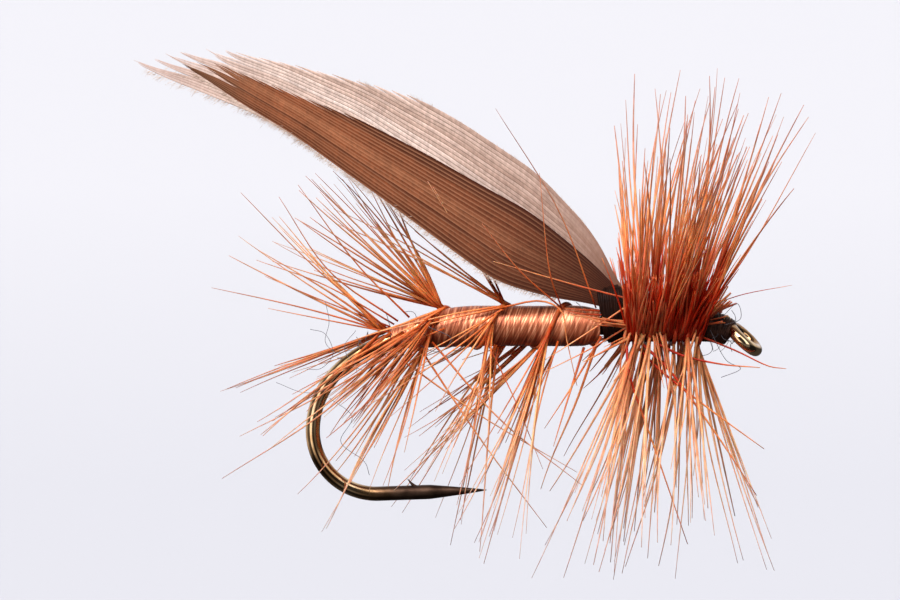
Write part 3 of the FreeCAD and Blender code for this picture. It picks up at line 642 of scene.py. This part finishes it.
def slip_barbs(side, flow, tips, singles):
    """The barbs' middles, each ring's width, the directions across the slip and out of it, and how far along
    the slip and along its barb each ring lies."""
    reach, low, high, low_out, high_out = np.array(flow).T
    number, first, shorter = singles
    clumped = sum(tip[2] for tip in tips)
    tips = tips + tuple((first - i * shorter, None, 1, SINGLE_CLOSING) for i in range(number))
    clump = np.repeat(np.arange(len(tips)), [tip[2] for tip in tips])
    tip_reach, closing = (np.array([tip[i] for tip in tips])[clump, None] for i in (0, 3))
    tip_height = np.array([tip[1] or 0.0 for tip in tips])[clump, None]
    count = len(clump)
    place = (np.arange(count) + 0.5) / count
    middle = np.array([place[clump == i].mean() for i in range(len(tips))])[clump]
    stagger = 0.9 * np.abs(place - middle) * count * 0.16
    own_reach = tip_reach[:, 0] - stagger - chance.uniform(0, 0.22, count)
    along = np.linspace(0, 1, SLIP_STEPS)
    u = reach[0] + (own_reach - reach[0])[:, None] * along
    w = place[:, None]
    span = eased(u, reach, high) - eased(u, reach, low)
    v = eased(u, reach, low) + w * span
    close = smoothstep((u - tip_reach + closing) / closing) ** 1.4
    fan = ((place - middle)[:, None] * span) * 0.25
    gather = close * (np.arange(count) < clumped)[:, None]
    v = v * (1 - gather) + (tip_height + fan) * gather
    v += 0.07 * span / count * np.sin(u * 1.7 + chance.uniform(0, 6, (count, 1))) * smoothstep(u / 3)
    out_low, out_high = eased(u, reach, low_out), eased(u, reach, high_out)
    swell = WING_CAMBER * smoothstep(u / 3)
    y = side * (out_low + w * (out_high - out_low) + swell * np.sin(math.pi * w))
    paths = WING_ROOT + u[..., None] * WING_OUT + v[..., None] * WING_UP
    paths[..., 1] += y
    lean = side * (out_high - out_low + swell * math.pi * np.cos(math.pi * w))
    across = unit(span[..., None] * WING_UP + lean[..., None] * FAR)
    tangents = unit(np.gradient(paths, axis=1))
    out = np.cross(across, tangents)
    out *= np.sign(out[..., 1:2] * side)
    widths = np.hypot(span, lean) / count * (1 - 0.6 * close) * np.sqrt(1 - along**24 * 0.96)
    return paths, widths, across, out, u, along


def make_slip(name, node, side, flow, tips, singles, material, tones):
    paths, widths, across, out, u, along = slip_barbs(side, flow, tips, singles)
    count, sides = len(paths), len(BARB_RIDGE)
    depths = np.broadcast_to(np.sqrt(1 - along**16 * 0.8), widths.shape)
    section = np.stack([BARB_ACROSS, BARB_HEIGHT], -1)
    vertices, faces = sweep(paths, across, out, section, widths, depths)
    tone = np.interp(np.arange(count), np.linspace(0, count - 1, len(tones)), tones)
    tone = tone + chance.normal(0, 0.13, count)
    values = {
        "tone": np.repeat(np.clip(tone, 0, 1), SLIP_STEPS * sides),
        "reach": np.repeat(u.ravel(), sides),
        "ridge": np.tile(BARB_RIDGE, count * SLIP_STEPS),
    }
    new_piece(name, vertices, faces, material, "wing_quill", [node], **values)
    return paths, across, out


def make_fringe(name, paths, across, out, rows):
    """Loose barbules along a slip's edges."""
    sets = []
    for barb, count, start, end, way, length in rows:
        at = (chance.uniform(start, end, count) * (SLIP_STEPS - 1)).astype(int)
        ahead = unit(np.gradient(paths[barb], axis=0))[at]
        edge = paths[barb][at] + across[barb][at] * way * 0.03
        lie = chance.uniform(0.35, 0.95, (count, 1))
        direction = across[barb][at] * way * lie + ahead * (1.15 - lie)
        direction = direction + out[barb][at] * chance.normal(-0.1, 0.12, (count, 1))
        sets.append((edge, direction, length * chance.uniform(0.45, 1.15, count)))
    roots, directions, lengths = (np.concatenate(parts) for parts in zip(*sets))
    curl = chance.normal(0, 0.1, (len(roots), 3))
    lines, radii = barb_lines(roots, directions, lengths, curl, BARBULE_RADIUS, 0.4, 5)
    vertices, faces = tubes(lines, radii, 4)
    new_piece(name, vertices, faces, WING_FLUFF, "wing_quill")


def make_wing():
    near = (-1, NEAR_FLOW, NEAR_TIPS, NEAR_SINGLES, NEAR_WING, NEAR_TONES)
    far = (1, FAR_FLOW, FAR_TIPS, FAR_SINGLES, FAR_WING, FAR_TONES)
    near_slip = make_slip("near_quill_slip", "wing_slip_near", *near)
    far_slip = make_slip("far_quill_slip", "wing_slip_far", *far)
    make_fringe("near_slip_barbules", *near_slip, NEAR_FRINGE)
    make_fringe("far_slip_barbules", *far_slip, FAR_FRINGE)


# ---- barbs ----

BARB_STEPS, BARB_SIDES = 14, 6
BARB_RADIUS, COLLAR_BARB_RADIUS, BARBULE_RADIUS = 0.036, 0.04, 0.0042
WHOLE_BARB = 6.0  # the length over which the colours run from root to tip


def barb_lines(roots, directions, lengths, bends, radius=BARB_RADIUS, tip=0.2, steps=BARB_STEPS):
    """Lines from roots along directions, each bent by its share of its length, and their tapering radii."""
    count = len(roots)
    directions = unit(directions)
    t = np.linspace(0, 1, steps)
    reach = lengths[:, None] * t
    side = unit(np.cross(directions, unit(chance.normal(size=(count, 3)))))
    phase, turns = chance.uniform(0, 6.3, (count, 1)), chance.uniform(2, 7, (count, 1))
    size = (lengths * chance.uniform(0.003, 0.014, count))[:, None]
    wave = (np.sin(phase + turns * t) - np.sin(phase)) * size
    lines = roots[:, None] + directions[:, None] * reach[..., None]
    lines = lines + bends[:, None] * (reach * t)[..., None] + side[:, None] * wave[..., None]
    taper = tip + (1 - tip) * (1 - t) ** 0.75
    return lines, radius * chance.uniform(0.6, 1.15, (count, 1)) * taper


def barb_piece(name, node, material, slot, sets):
    """One piece of many barbs. Each of sets is (lines, radii, tones)."""
    lines, radii, tones = (np.concatenate(parts) for parts in zip(*sets))
    vertices, faces = tubes(lines, radii, BARB_SIDES)
    reach = np.linalg.norm(lines - lines[:, :1], axis=-1) / WHOLE_BARB
    values = {
        "along": np.repeat(np.clip(reach, 0, 1), BARB_SIDES),
        "tone": np.repeat(np.clip(tones, 0, 1), lines.shape[1] * BARB_SIDES),
    }
    new_piece(name, vertices, faces, material, slot, [node], **values)


def in_bundles(count, low, high):
    """The number of the bundle that each of count barbs lies in, with low to high barbs to a bundle."""
    return np.repeat(np.arange(count), chance.integers(low, high + 1, count))[:count]


def leaning(behind, toward, lean):
    """Directions out from the shank towards an angle and lean degrees back, with their outward and forward
    directions."""
    _, forward, upward = on_shank(behind)
    out, lean = outward(upward, toward), np.radians(lean)[:, None]
    return out * np.cos(lean) - forward * np.sin(lean), out, forward


def jitter(bundle, between, within):
    """Random shifts, mostly shared by a bundle."""
    return chance.normal(0, between, bundle.max() + 1)[bundle] + chance.normal(0, within, len(bundle))


PALMER_SEED, COLLAR_SEED = 9, 7
PALMER_COUNTS = (26, 26, 32, 28)
TOP_SPLIT = (12, 8, 8, 5)  # how far round to each side the barbs above each turn reach, in degrees
TOP_LEAN = (72, 60, 30, 56)  # degrees back from square, for the barbs above each turn, front to back
LOW_LEAN = (24, 26, 32, 46)  # and for those below it
PALMER_LENGTHS = (6.0, 5.2, 4.9, 4.5)
# Bundles that rise from the tops of the turns: (turn, barbs, degrees back from square, lengths)
PALMER_CRESTS = (
    (1, 8, 47, (2.6, 4.2)),
    (2, 15, 37, (3.2, 5.0)),
    (2, 7, 60, (3.4, 5.0)),
    (3, 6, 46, (3.2, 4.6)),
)
# Barbs swept back from both sides, by turn, and at the collar's back; the values are swept_set's, after side
PALMER_SWEPT = {
    0: (10, (3.4, 6.9), (110, 165), (145, 180), 18, (2.8, 6.2)),
    3: (10, (7.7, 9.3), (35, 110), (105, 165), 62, (2.8, 5.4)),
}
COLLAR_SWEPT = (9, (2.8, 3.1), (50, 150), (60, 160), 42, (0.8, 2.2))
SIDES = (1, -1)


def palmer_set(turn):
    """The barbs of one open turn of the body hackle: some rise from its top, and the rest are swept down
    and back along both sides of the body."""
    middle = PALMER_TOP + turn * PALMER_PITCH
    start = max(middle - PALMER_PITCH / 2, PALMER_ENDS[0])
    end = min(middle + PALMER_PITCH / 2, PALMER_ENDS[1])
    count = PALMER_COUNTS[turn]
    bundle = in_bundles(count, 2, 8)
    behind = np.clip(chance.uniform(start, end, count)[bundle] + chance.normal(0, 0.03, count), start, end)
    angle = within_a_turn(palmer_angle(behind))
    above = np.abs(angle) < math.radians(TOP_SPLIT[turn])
    toward = fanned(angle, TOP_SPLIT[turn], 0.55, 0.42) + np.radians(jitter(bundle, 7, 3))
    lean = np.where(above, TOP_LEAN[turn], LOW_LEAN[turn]) + jitter(bundle, 9, 3.0)
    directions, out, forward = leaning(behind, toward, np.clip(lean, 2, 84))
    size = chance.uniform(0.62, 1.12, bundle.max() + 1)[bundle]
    lengths = PALMER_LENGTHS[turn] * (size + chance.normal(0, 0.09, count))
    bends = out * chance.normal(-0.03, 0.05, (count, 1))
    bends = bends - forward * chance.normal(0.0, 0.05, (count, 1))
    roots = around(behind, angle, body_radius(behind) + QUILL_RADIUS * 0.6)
    lines, radii = barb_lines(roots, directions, lengths, bends)
    return lines, radii, 0.5 + jitter(bundle, 0.22, 0.12)


def swept_set(side, count, places, rooted, headings, lean, lengths, tone=0.6):
    """Barbs that leave the body between places and lie back. rooted and headings are ranges of angles round
    it, and lean is in degrees back from square."""
    bundle = in_bundles(count, 1, 4)
    behind = chance.uniform(*places, count)[bundle] + chance.normal(0, 0.03, count)
    angle = side * np.radians(chance.uniform(*rooted, count)[bundle] + chance.normal(0, 4, count))
    toward = side * np.radians(chance.uniform(*headings, count)[bundle] + chance.normal(0, 4, count))
    directions, out, _ = leaning(behind, toward, np.clip(lean + jitter(bundle, 9, 3), 2, 86))
    bends = out * chance.normal(0.04, 0.04, (count, 1))
    roots = around(behind, angle, body_radius(behind) + QUILL_RADIUS)
    lines, radii = barb_lines(roots, directions, chance.uniform(*lengths, count), bends)
    return lines, radii, tone + jitter(bundle, 0.2, 0.1)


COLLAR_COUNT = 38  # on each turn
COLLAR_LENGTH = 6.5
TOP_FAN = (19, 1)  # degrees forward from square above the shank, at the collar's front and back
LOW_FAN = (12, -20)  # and below it
BED_FAN = (20, -3)  # and above it for the barbs of the bed


def collar_barbs(behind, angle, toward, bundle, lengths, spread, tone, top_fan=TOP_FAN):
    """Barbs rooted beside the shank at angle, that stand out towards another angle."""
    start, end = COLLAR_ENDS
    low = (1 - np.cos(toward)) / 2
    share = (behind - start) / (end - start)
    above, below = (front + (back - front) * share for front, back in (top_fan, LOW_FAN))
    lean = above + (below - above) * low + jitter(bundle, spread, 2.0) * (1 + 1.3 * low)
    lean = np.radians(np.clip(lean, -60, 60))[:, None]
    _, forward, upward = on_shank(behind)
    flat = np.maximum(np.abs(np.cos(toward)), 0.3)[:, None]  # so that side barbs splay no further
    directions = outward(upward, toward) + forward * np.tan(lean) * flat
    count = len(behind)
    bends = forward * (np.sin(lean) * 0.1 + chance.normal(0, 0.035, (count, 1)))
    bends = bends + chance.normal(0, 0.03, (count, 3))
    roots = around(behind, angle, COLLAR_ROOT)
    lines, radii = barb_lines(roots, directions, lengths, bends, COLLAR_BARB_RADIUS, 0.22)
    # below the shank the tone grows lighter: partly the hackle's duller side, partly painted light where the
    # barbs are lit through
    return lines, radii, tone + 0.76 * low**2 + jitter(bundle, 0.19, 0.12)


def collar_turn_set(turn):
    start, end = COLLAR_ENDS
    pitch = (end - start) / COLLAR_TURNS
    bundle = in_bundles(COLLAR_COUNT, 1, 5)
    places = np.sort(chance.random(bundle.max() + 1))[bundle]
    behind = start + pitch * (turn + np.clip(places + chance.normal(0, 0.012, COLLAR_COUNT), 0, 1))
    angle = collar_angle(behind)
    free = (chance.random(COLLAR_COUNT) < 0.08) & (np.abs(np.cos(angle)) > 0.6)
    toward = np.where(free, angle, fanned(angle, 115, 0.5, 0.75)) + np.radians(jitter(bundle, 4, 3))
    lengths = COLLAR_LENGTH * np.clip(chance.triangular(0.5, 0.9, 1.06, COLLAR_COUNT), 0.4, 1.06)
    return collar_barbs(behind, angle, toward, bundle, lengths, 3.2, 0.15)


def collar_bed_set(side, count, rooted, heading, tone):
    """Barbs that leave the collar's side and lie close along it before they stand out above or below."""
    start, end = BED_ENDS
    bundle = in_bundles(count, 2, 5)
    places = chance.random(bundle.max() + 1)[bundle] + chance.normal(0, 0.02, count)
    behind = start + (end - start) * np.clip(places, 0, 1)
    angle = side * np.radians(chance.uniform(*rooted, count))
    toward = side * np.radians(chance.normal(heading, 7, count))
    lengths = COLLAR_LENGTH * chance.triangular(0.11, 0.19, 0.4, count)
    return collar_barbs(behind, angle, toward, bundle, lengths, 6, tone, BED_FAN)


def stray(points, radius, tone):
    """One listed barb."""
    line = spline(points, BARB_STEPS)
    taper = 0.25 + 0.75 * (1 - np.linspace(0, 1, BARB_STEPS)) ** 0.75
    return line[None], radius * taper[None], np.array([tone])


PALMER_STRAYS = (  # (points, radius, tone)
    (((-3.9, -0.5, 0.9), (-4.9, -1.3, 3.6), (-6.55, -2.2, 6.4)), 0.022, 0.25),
    (((-4.8, -0.55, 0.9), (-5.9, -1.3, 2.0), (-6.9, -1.6, 3.3)), 0.026, 0.1),
    (((-4.8, -0.55, 0.9), (-5.15, -1.2, 2.1), (-5.4, -1.4, 4.6)), 0.024, 0.1),
    (((-3.75, -0.36, 0.8), (-4.2, -0.4, 0.83), (-4.75, -0.32, 0.87)), 0.032, 0.0),
    (((-3.75, -0.42, 0.7), (-4.3, -0.45, 0.74), (-4.7, -0.38, 0.82)), 0.03, 0.0),
    (((-9.4, -0.1, 0.3), (-11.3, -0.5, 2.0), (-13.2, -0.8, 4.0)), 0.026, 0.35),
    (((-9.2, -0.1, 0.4), (-11.0, -0.5, 1.5), (-12.8, -0.7, 2.2)), 0.026, 0.3),
    (((-9.3, 0.1, 0.3), (-11.0, 0.5, 0.9), (-12.6, 0.7, 1.55)), 0.024, 0.25),
    (((-9.3, -0.2, 0.2), (-11.0, -0.6, 0.6), (-12.5, -0.7, 0.92)), 0.024, 0.3),
    (((-9.0, -0.45, -0.1), (-11.2, -1.1, -1.9), (-13.7, -1.6, -3.45)), 0.03, 0.45),
    (((-9.0, -0.4, -0.2), (-11.2, -0.9, -1.4), (-13.25, -1.2, -2.4)), 0.026, 0.5),
    (((-8.2, -0.55, 0.0), (-6.4, -1.6, -1.9), (-4.3, -2.5, -3.45)), 0.03, 0.3),
    (((-8.5, -0.5, -0.2), (-6.9, -1.3, -2.5), (-5.2, -1.9, -4.7)), 0.03, 0.45),
    (((-9.0, -0.4, -0.5), (-6.9, -1.0, -1.9), (-4.4, -1.5, -3.3)), 0.028, 0.6),
    (((-9.1, -0.2, 0.5), (-10.9, -0.6, 1.9), (-12.2, -0.9, 3.9)), 0.028, 0.2),
    (((-8.8, -0.2, 0.6), (-10.2, -0.5, 2.1), (-11.7, -0.8, 4.2)), 0.028, 0.3),
    (((-6.8, -0.6, 0.1), (-6.0, -1.2, -1.5), (-5.3, -1.6, -3.2)), 0.022, 0.15),
    (
        ((-6.4, -0.5, 0.9), (-5.4, -0.7, 1.12), (-4.8, -0.8, 0.85), (-4.68, -0.8, 0.15), (-4.4, -0.9, -1.1)),
        0.03,
        0.45,
    ),
    (((-6.3, -0.45, 0.92), (-7.6, -0.62, 0.66), (-9.1, -0.75, 0.3)), 0.034, 0.7),
    (((-6.3, -0.42, 0.95), (-7.7, -0.6, 0.74), (-9.6, -0.7, 0.3)), 0.03, 0.8),
    (((-6.28, -0.46, 0.9), (-7.2, -0.75, 0.4), (-8.8, -0.95, -0.45)), 0.032, 0.65),
    (((-7.85, -0.42, 0.9), (-8.9, -0.6, 0.52), (-10.2, -0.75, 0.1)), 0.034, 0.75),
    (((-7.88, -0.44, 0.88), (-9.0, -0.7, 0.3), (-10.6, -0.9, -0.55)), 0.032, 0.7),
)
COLLAR_STRAYS = (
    (((-3.0, -0.45, 1.0), (-4.2, -0.86, 0.25), (-5.4, -1.0, -0.5)), 0.026, 0.75),
    (((-3.0, -0.5, 0.45), (-4.1, -0.9, -0.15), (-5.6, -1.2, -0.85)), 0.026, 0.55),
    (((-2.9, -0.5, 1.1), (-4.6, -0.95, 1.62), (-6.6, -1.25, 2.25)), 0.026, 0.3),
    (((-2.9, -0.4, -0.05), (-2.2, -0.6, -0.75), (-0.9, -1.2, -1.7), (0.5, -1.4, -2.7)), 0.042, 0.02),
    (((-2.7, -0.45, -0.05), (-1.9, -0.8, -0.8), (-0.7, -1.3, -2.4), (0.3, -1.6, -3.9)), 0.042, 0.02),
    (((-2.3, -0.45, -0.05), (-1.6, -0.65, -0.35), (-0.6, -0.8, -0.55), (0.4, -0.9, -0.62)), 0.04, 0.02),
    (((-3.1, -0.45, 0.0), (-3.0, -0.95, -0.9), (-2.4, -1.3, -2.6), (-1.5, -1.6, -5.2)), 0.042, 0.02),
    (((-1.1, -0.35, 0.1), (-0.2, -0.5, -0.25), (0.6, -0.6, -0.62), (1.1, -0.6, -0.7)), 0.028, 0.1),
    (((-1.0, 0.2, 0.8), (0.0, 0.5, 1.1), (1.3, 0.8, 1.3)), 0.016, 0.05),
    (((-1.0, -0.25, 0.8), (0.2, -0.6, 2.6), (1.8, -1.0, 5.6)), 0.026, 0.25),
)


def restart(seed):
    """Start the random numbers again, so that one group's barbs don't depend on another's."""
    global chance
    chance = np.random.default_rng(seed)


def make_palmer():
    restart(PALMER_SEED)
    for turn in range(PALMER_TURNS):
        sets = [palmer_set(turn)]
        top = PALMER_TOP + turn * PALMER_PITCH
        for at, count, lean, lengths in PALMER_CRESTS:
            if at == turn:
                places = (top - 0.05, top + 0.05)
                sets.append(swept_set(1, count, places, (-9, 9), (-14, 14), lean, lengths, 0.55))
        if turn == 1:
            sets += [stray(*row) for row in PALMER_STRAYS]
        if turn in PALMER_SWEPT:
            sets += [swept_set(side, *PALMER_SWEPT[turn]) for side in SIDES]
        number = PALMER_TURNS - turn
        barb_piece(f"body_hackle_turn_{number}", f"palmer_barbs_turn_{number}", PALMER, "body_hackle", sets)


def make_collar():
    restart(COLLAR_SEED)
    for turn in range(COLLAR_TURNS):
        sets = [collar_turn_set(turn)]
        if turn == 2:
            sets += [collar_bed_set(side, 260, (70, 140), 24, 0.02) for side in SIDES]
            sets += [collar_bed_set(side, 24, (80, 125), 160, 0.1) for side in SIDES]
            sets += [swept_set(side, *COLLAR_SWEPT) for side in SIDES]
            sets += [stray(*row) for row in COLLAR_STRAYS]
        name, node = (f"collar_{kind}_turn_{COLLAR_TURNS - turn}" for kind in ("hackle", "barbs"))
        barb_piece(name, node, COLLAR, "collar_hackle", sets)


def make_butts(count=16):
    """The trimmed ends of the collar hackle, standing up and forward over the eye."""
    behind = chance.uniform(0.82, 1.0, count)
    angle = np.radians(np.linspace(-75, 75, count) + chance.normal(0, 5, count))
    directions, _, _ = leaning(behind, angle, -chance.uniform(28, 70, count))
    bends = chance.normal(0, 0.06, (count, 3))
    lengths = chance.uniform(0.4, 0.95, count)
    roots = around(behind, angle, 0.36)
    lines, radii = barb_lines(roots, directions, lengths, bends, COLLAR_BARB_RADIUS, 0.6)
    sets = [(lines, radii, chance.uniform(0.2, 0.9, count))]
    barb_piece("trimmed_hackle_ends", "hackle_butts", COLLAR, "collar_hackle", sets)


LONG_FIBRES = (  # caught among the barbs at the bend and the eye
    ((-11, -0.4, 1.05), (-10.9, -0.7, 0.55), (-11, -0.8, 0.05), (-10.7, -0.7, -0.25), (-10.3, -0.6, -0.2)),
    ((-11.4, -0.3, 0.3), (-11, -0.5, 0.2), (-10.8, -0.6, -0.3), (-11.1, -0.5, -0.7), (-11.5, -0.4, -0.75)),
    ((-10.2, -0.5, 0.3), (-10.5, -0.8, -0.1), (-10.2, -0.9, -0.55), (-9.8, -0.8, -0.4), (-9.5, -0.7, 0.05)),
    ((-10.9, -0.5, -1.5), (-10.3, -0.8, -1.95), (-10.6, -0.9, -2.6), (-10, -0.9, -3.1), (-9.85, -0.8, -3.5)),
    ((-12.3, -0.4, -1.1), (-11.6, -0.5, -1.35), (-11, -0.5, -1.3)),
    ((-8.8, -0.7, 0.1), (-8.1, -0.9, -0.2), (-7.7, -0.9, 0.15), (-8.3, -0.8, 0.45)),
    ((-0.6, -0.3, 0.6), (-0.2, -0.4, 1), (-0.1, -0.4, 0.6), (-0.5, -0.5, 0.45)),
    ((-0.9, -0.4, 0.3), (-0.5, -0.6, -0.45), (-0.1, -0.6, -0.7), (-0.6, -0.5, -0.95)),
)


CURLS = ((0.5, 1.0, 14), (3.2, 3.7, 8), (8.6, 10.5, 14))  # (from and to behind the eye, how many)
FIBRE_STEPS = 30


def make_fuzz():
    """Stray fine fibre: short curls at the head, the binding and the bend's start, and a few long ones."""
    places = np.concatenate([chance.uniform(*row) for row in CURLS])
    starts = around(places, chance.uniform(0, 6.3, len(places)), 0.32)
    lines = []
    for start in starts:
        heading = unit(chance.normal(size=3))
        points = [start]
        for _ in range(5):
            heading = unit(heading + 0.75 * chance.normal(size=3))
            points.append(points[-1] + heading * chance.uniform(0.12, 0.24))
        lines.append(spline(points, FIBRE_STEPS))
    lines = np.array(lines + [spline(points, FIBRE_STEPS) for points in LONG_FIBRES])
    radii = np.repeat(chance.uniform(0.006, 0.01, (len(lines), 1)), FIBRE_STEPS, axis=1)
    vertices, faces = tubes(lines, radii, 5)
    new_piece("loose_fibres", vertices, faces, FUZZ, "tying_thread")


make_hook()
make_floss()
make_windings()
make_head()
make_binding()
make_wing()
make_palmer()
make_collar()
make_butts()
make_fuzz()
thread_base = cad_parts["shank_thread_base"]
thread_base.data.materials.clear()
thread_base.data.materials.append(THREAD)

# ---- camera, light and stage ----

FRAME_WIDTH = 23.67  # mm across the picture at the fly
CAMERA_LENS, SENSOR = 300.0, 36.0
CAMERA_RISE = math.radians(9)
TARGET = np.array([-7.73, 0.0, 1.03])
# How bright the world is by its direction, as (cosine to the axis, brightness). The first fades it below the
# floor; the second is a white backdrop, and on the near side a ring of lamps round a dark room.
UPWARD, SKY_LIGHT = (-0.35, 0, 0.94), ((-0.24, 0.08), (0.0, 1.0))
ROOMWARD = (0.0, -0.96, 0.28)
ROOM_LIGHT = ((-0.3, 1.0), (-0.05, 0.26), (0.54, 0.16), (0.64, 2.6), (0.82, 2.6), (0.91, 0.05))
FLOOR, FLOOR_REACH, WALL_TOP = -14.0, 1500.0, 750.0
LEVEL_REACH, SWEEP = 250.0, 12000.0  # the floor is level so far out, and then rises by distance**2 / SWEEP
# The floor's colours: painted shade makes it darker near the object, so that it dims towards the bottom of
# the view
FLOOR_SHADES = ((0.0, (0.417, 0.417, 0.444)), (1.0, (0.464, 0.461, 0.482)))
SHADE_ENDS = (0.055, 0.125)  # metres behind the object, where the first, darker painted shade ends and the second, lighter floor colour starts


def aim(thing, place, target):
    place = np.asarray(place, float)
    thing.location = Vector(place * MM)
    thing.rotation_euler = Vector(target - place).to_track_quat("-Z", "Y").to_euler()


def make_camera():
    camera = added("camera", bpy.data.cameras.new("camera"))
    camera.data.lens, camera.data.sensor_width = CAMERA_LENS, SENSOR
    camera.data.clip_start, camera.data.clip_end = 0.002, 20.0
    distance = FRAME_WIDTH * CAMERA_LENS / SENSOR
    aim(camera, TARGET + distance * np.array([0, -math.cos(CAMERA_RISE), math.sin(CAMERA_RISE)]), TARGET)
    bpy.context.scene.camera = camera


def make_sun(name, toward, strength, softness):
    """Studio light that comes from the direction toward, as soft as a lamp that many degrees wide."""
    light = bpy.data.lights.new(name, "SUN")
    light.energy, light.angle = strength, math.radians(softness)
    aim(added(name, light), np.array(toward) * 100.0, (0, 0, 0))


def brightness(nodes, axis, stops):
    """How bright the world is, eased between stops (cosine to the axis, brightness)."""
    place = nodes.node("ShaderNodeTexCoord").outputs["Generated"]
    cosine = nodes.node("ShaderNodeVectorMath", {0: place, 1: axis}, operation="DOT_PRODUCT").outputs["Value"]
    share = nodes.node("ShaderNodeMapRange", {"Value": cosine, "From Min": -1.0}).outputs["Result"]
    peak = max(value for _, value in stops)
    ramp = nodes.greys(share, *(((at + 1) / 2, value / peak) for at, value in stops))
    ramp.node.color_ramp.interpolation = "EASE"
    return nodes.times(ramp, peak)


def make_world():
    world = bpy.data.worlds.new("studio")
    bpy.context.scene.world = world
    world.use_nodes = True
    nodes = Nodes(world.node_tree)
    background = world.node_tree.nodes["Background"]
    background.inputs["Color"].default_value = (0.905, 0.895, 0.945, 1)
    strength = nodes.times(brightness(nodes, UPWARD, SKY_LIGHT), brightness(nodes, ROOMWARD, ROOM_LIGHT))
    world.node_tree.links.new(strength, background.inputs["Strength"])


def sweep_up(distance):
    """How far the floor has risen at a distance from the object."""
    return np.clip(distance - LEVEL_REACH, 0, None) ** 2 / SWEEP


def make_stage():
    """A level floor that sweeps up gently at its sides and at the back, where it ends in a wall."""
    columns = np.linspace(-FLOOR_REACH, FLOOR_REACH, 61)
    rows = [(y, sweep_up(y)) for y in np.linspace(LEVEL_REACH, FLOOR_REACH, 26)]
    rows = [(-FLOOR_REACH, 0.0), *rows, (FLOOR_REACH, WALL_TOP)]
    vertices = [(x, y, FLOOR + rise + sweep_up(abs(x))) for y, rise in rows for x in columns]
    wide = len(columns)
    starts = [row * wide + column for row in range(len(rows) - 1) for column in range(wide - 1)]
    faces = [(i, i + 1, i + 1 + wide, i + wide) for i in starts]
    mesh = bpy.data.meshes.new("floor")
    mesh.from_pydata((np.array(vertices) * MM).tolist(), [], faces)
    mesh.shade_smooth()
    floor = added("floor", mesh)
    m = Shader("floor", Roughness=0.9)
    # painted shade: the floor is darker near the object, lighter from further back
    place = m.node("ShaderNodeTexCoord").outputs["Object"]
    depth = m.node("ShaderNodeSeparateXYZ", {"Vector": place}).outputs["Y"]
    wanted = {"Value": depth, "From Min": SHADE_ENDS[0], "From Max": SHADE_ENDS[1]}
    share = m.node("ShaderNodeMapRange", wanted).outputs["Result"]
    m.link(m.ramp(share, *FLOOR_SHADES), "Base Color")
    mesh.materials.append(m.material)
    floor.visible_diffuse = floor.visible_glossy = floor.visible_transmission = False


make_camera()
make_world()
make_stage()
make_sun("key", (-0.25, -0.58, 0.77), 4.9, 35)
bpy.context.scene.view_settings.view_transform = "Standard"
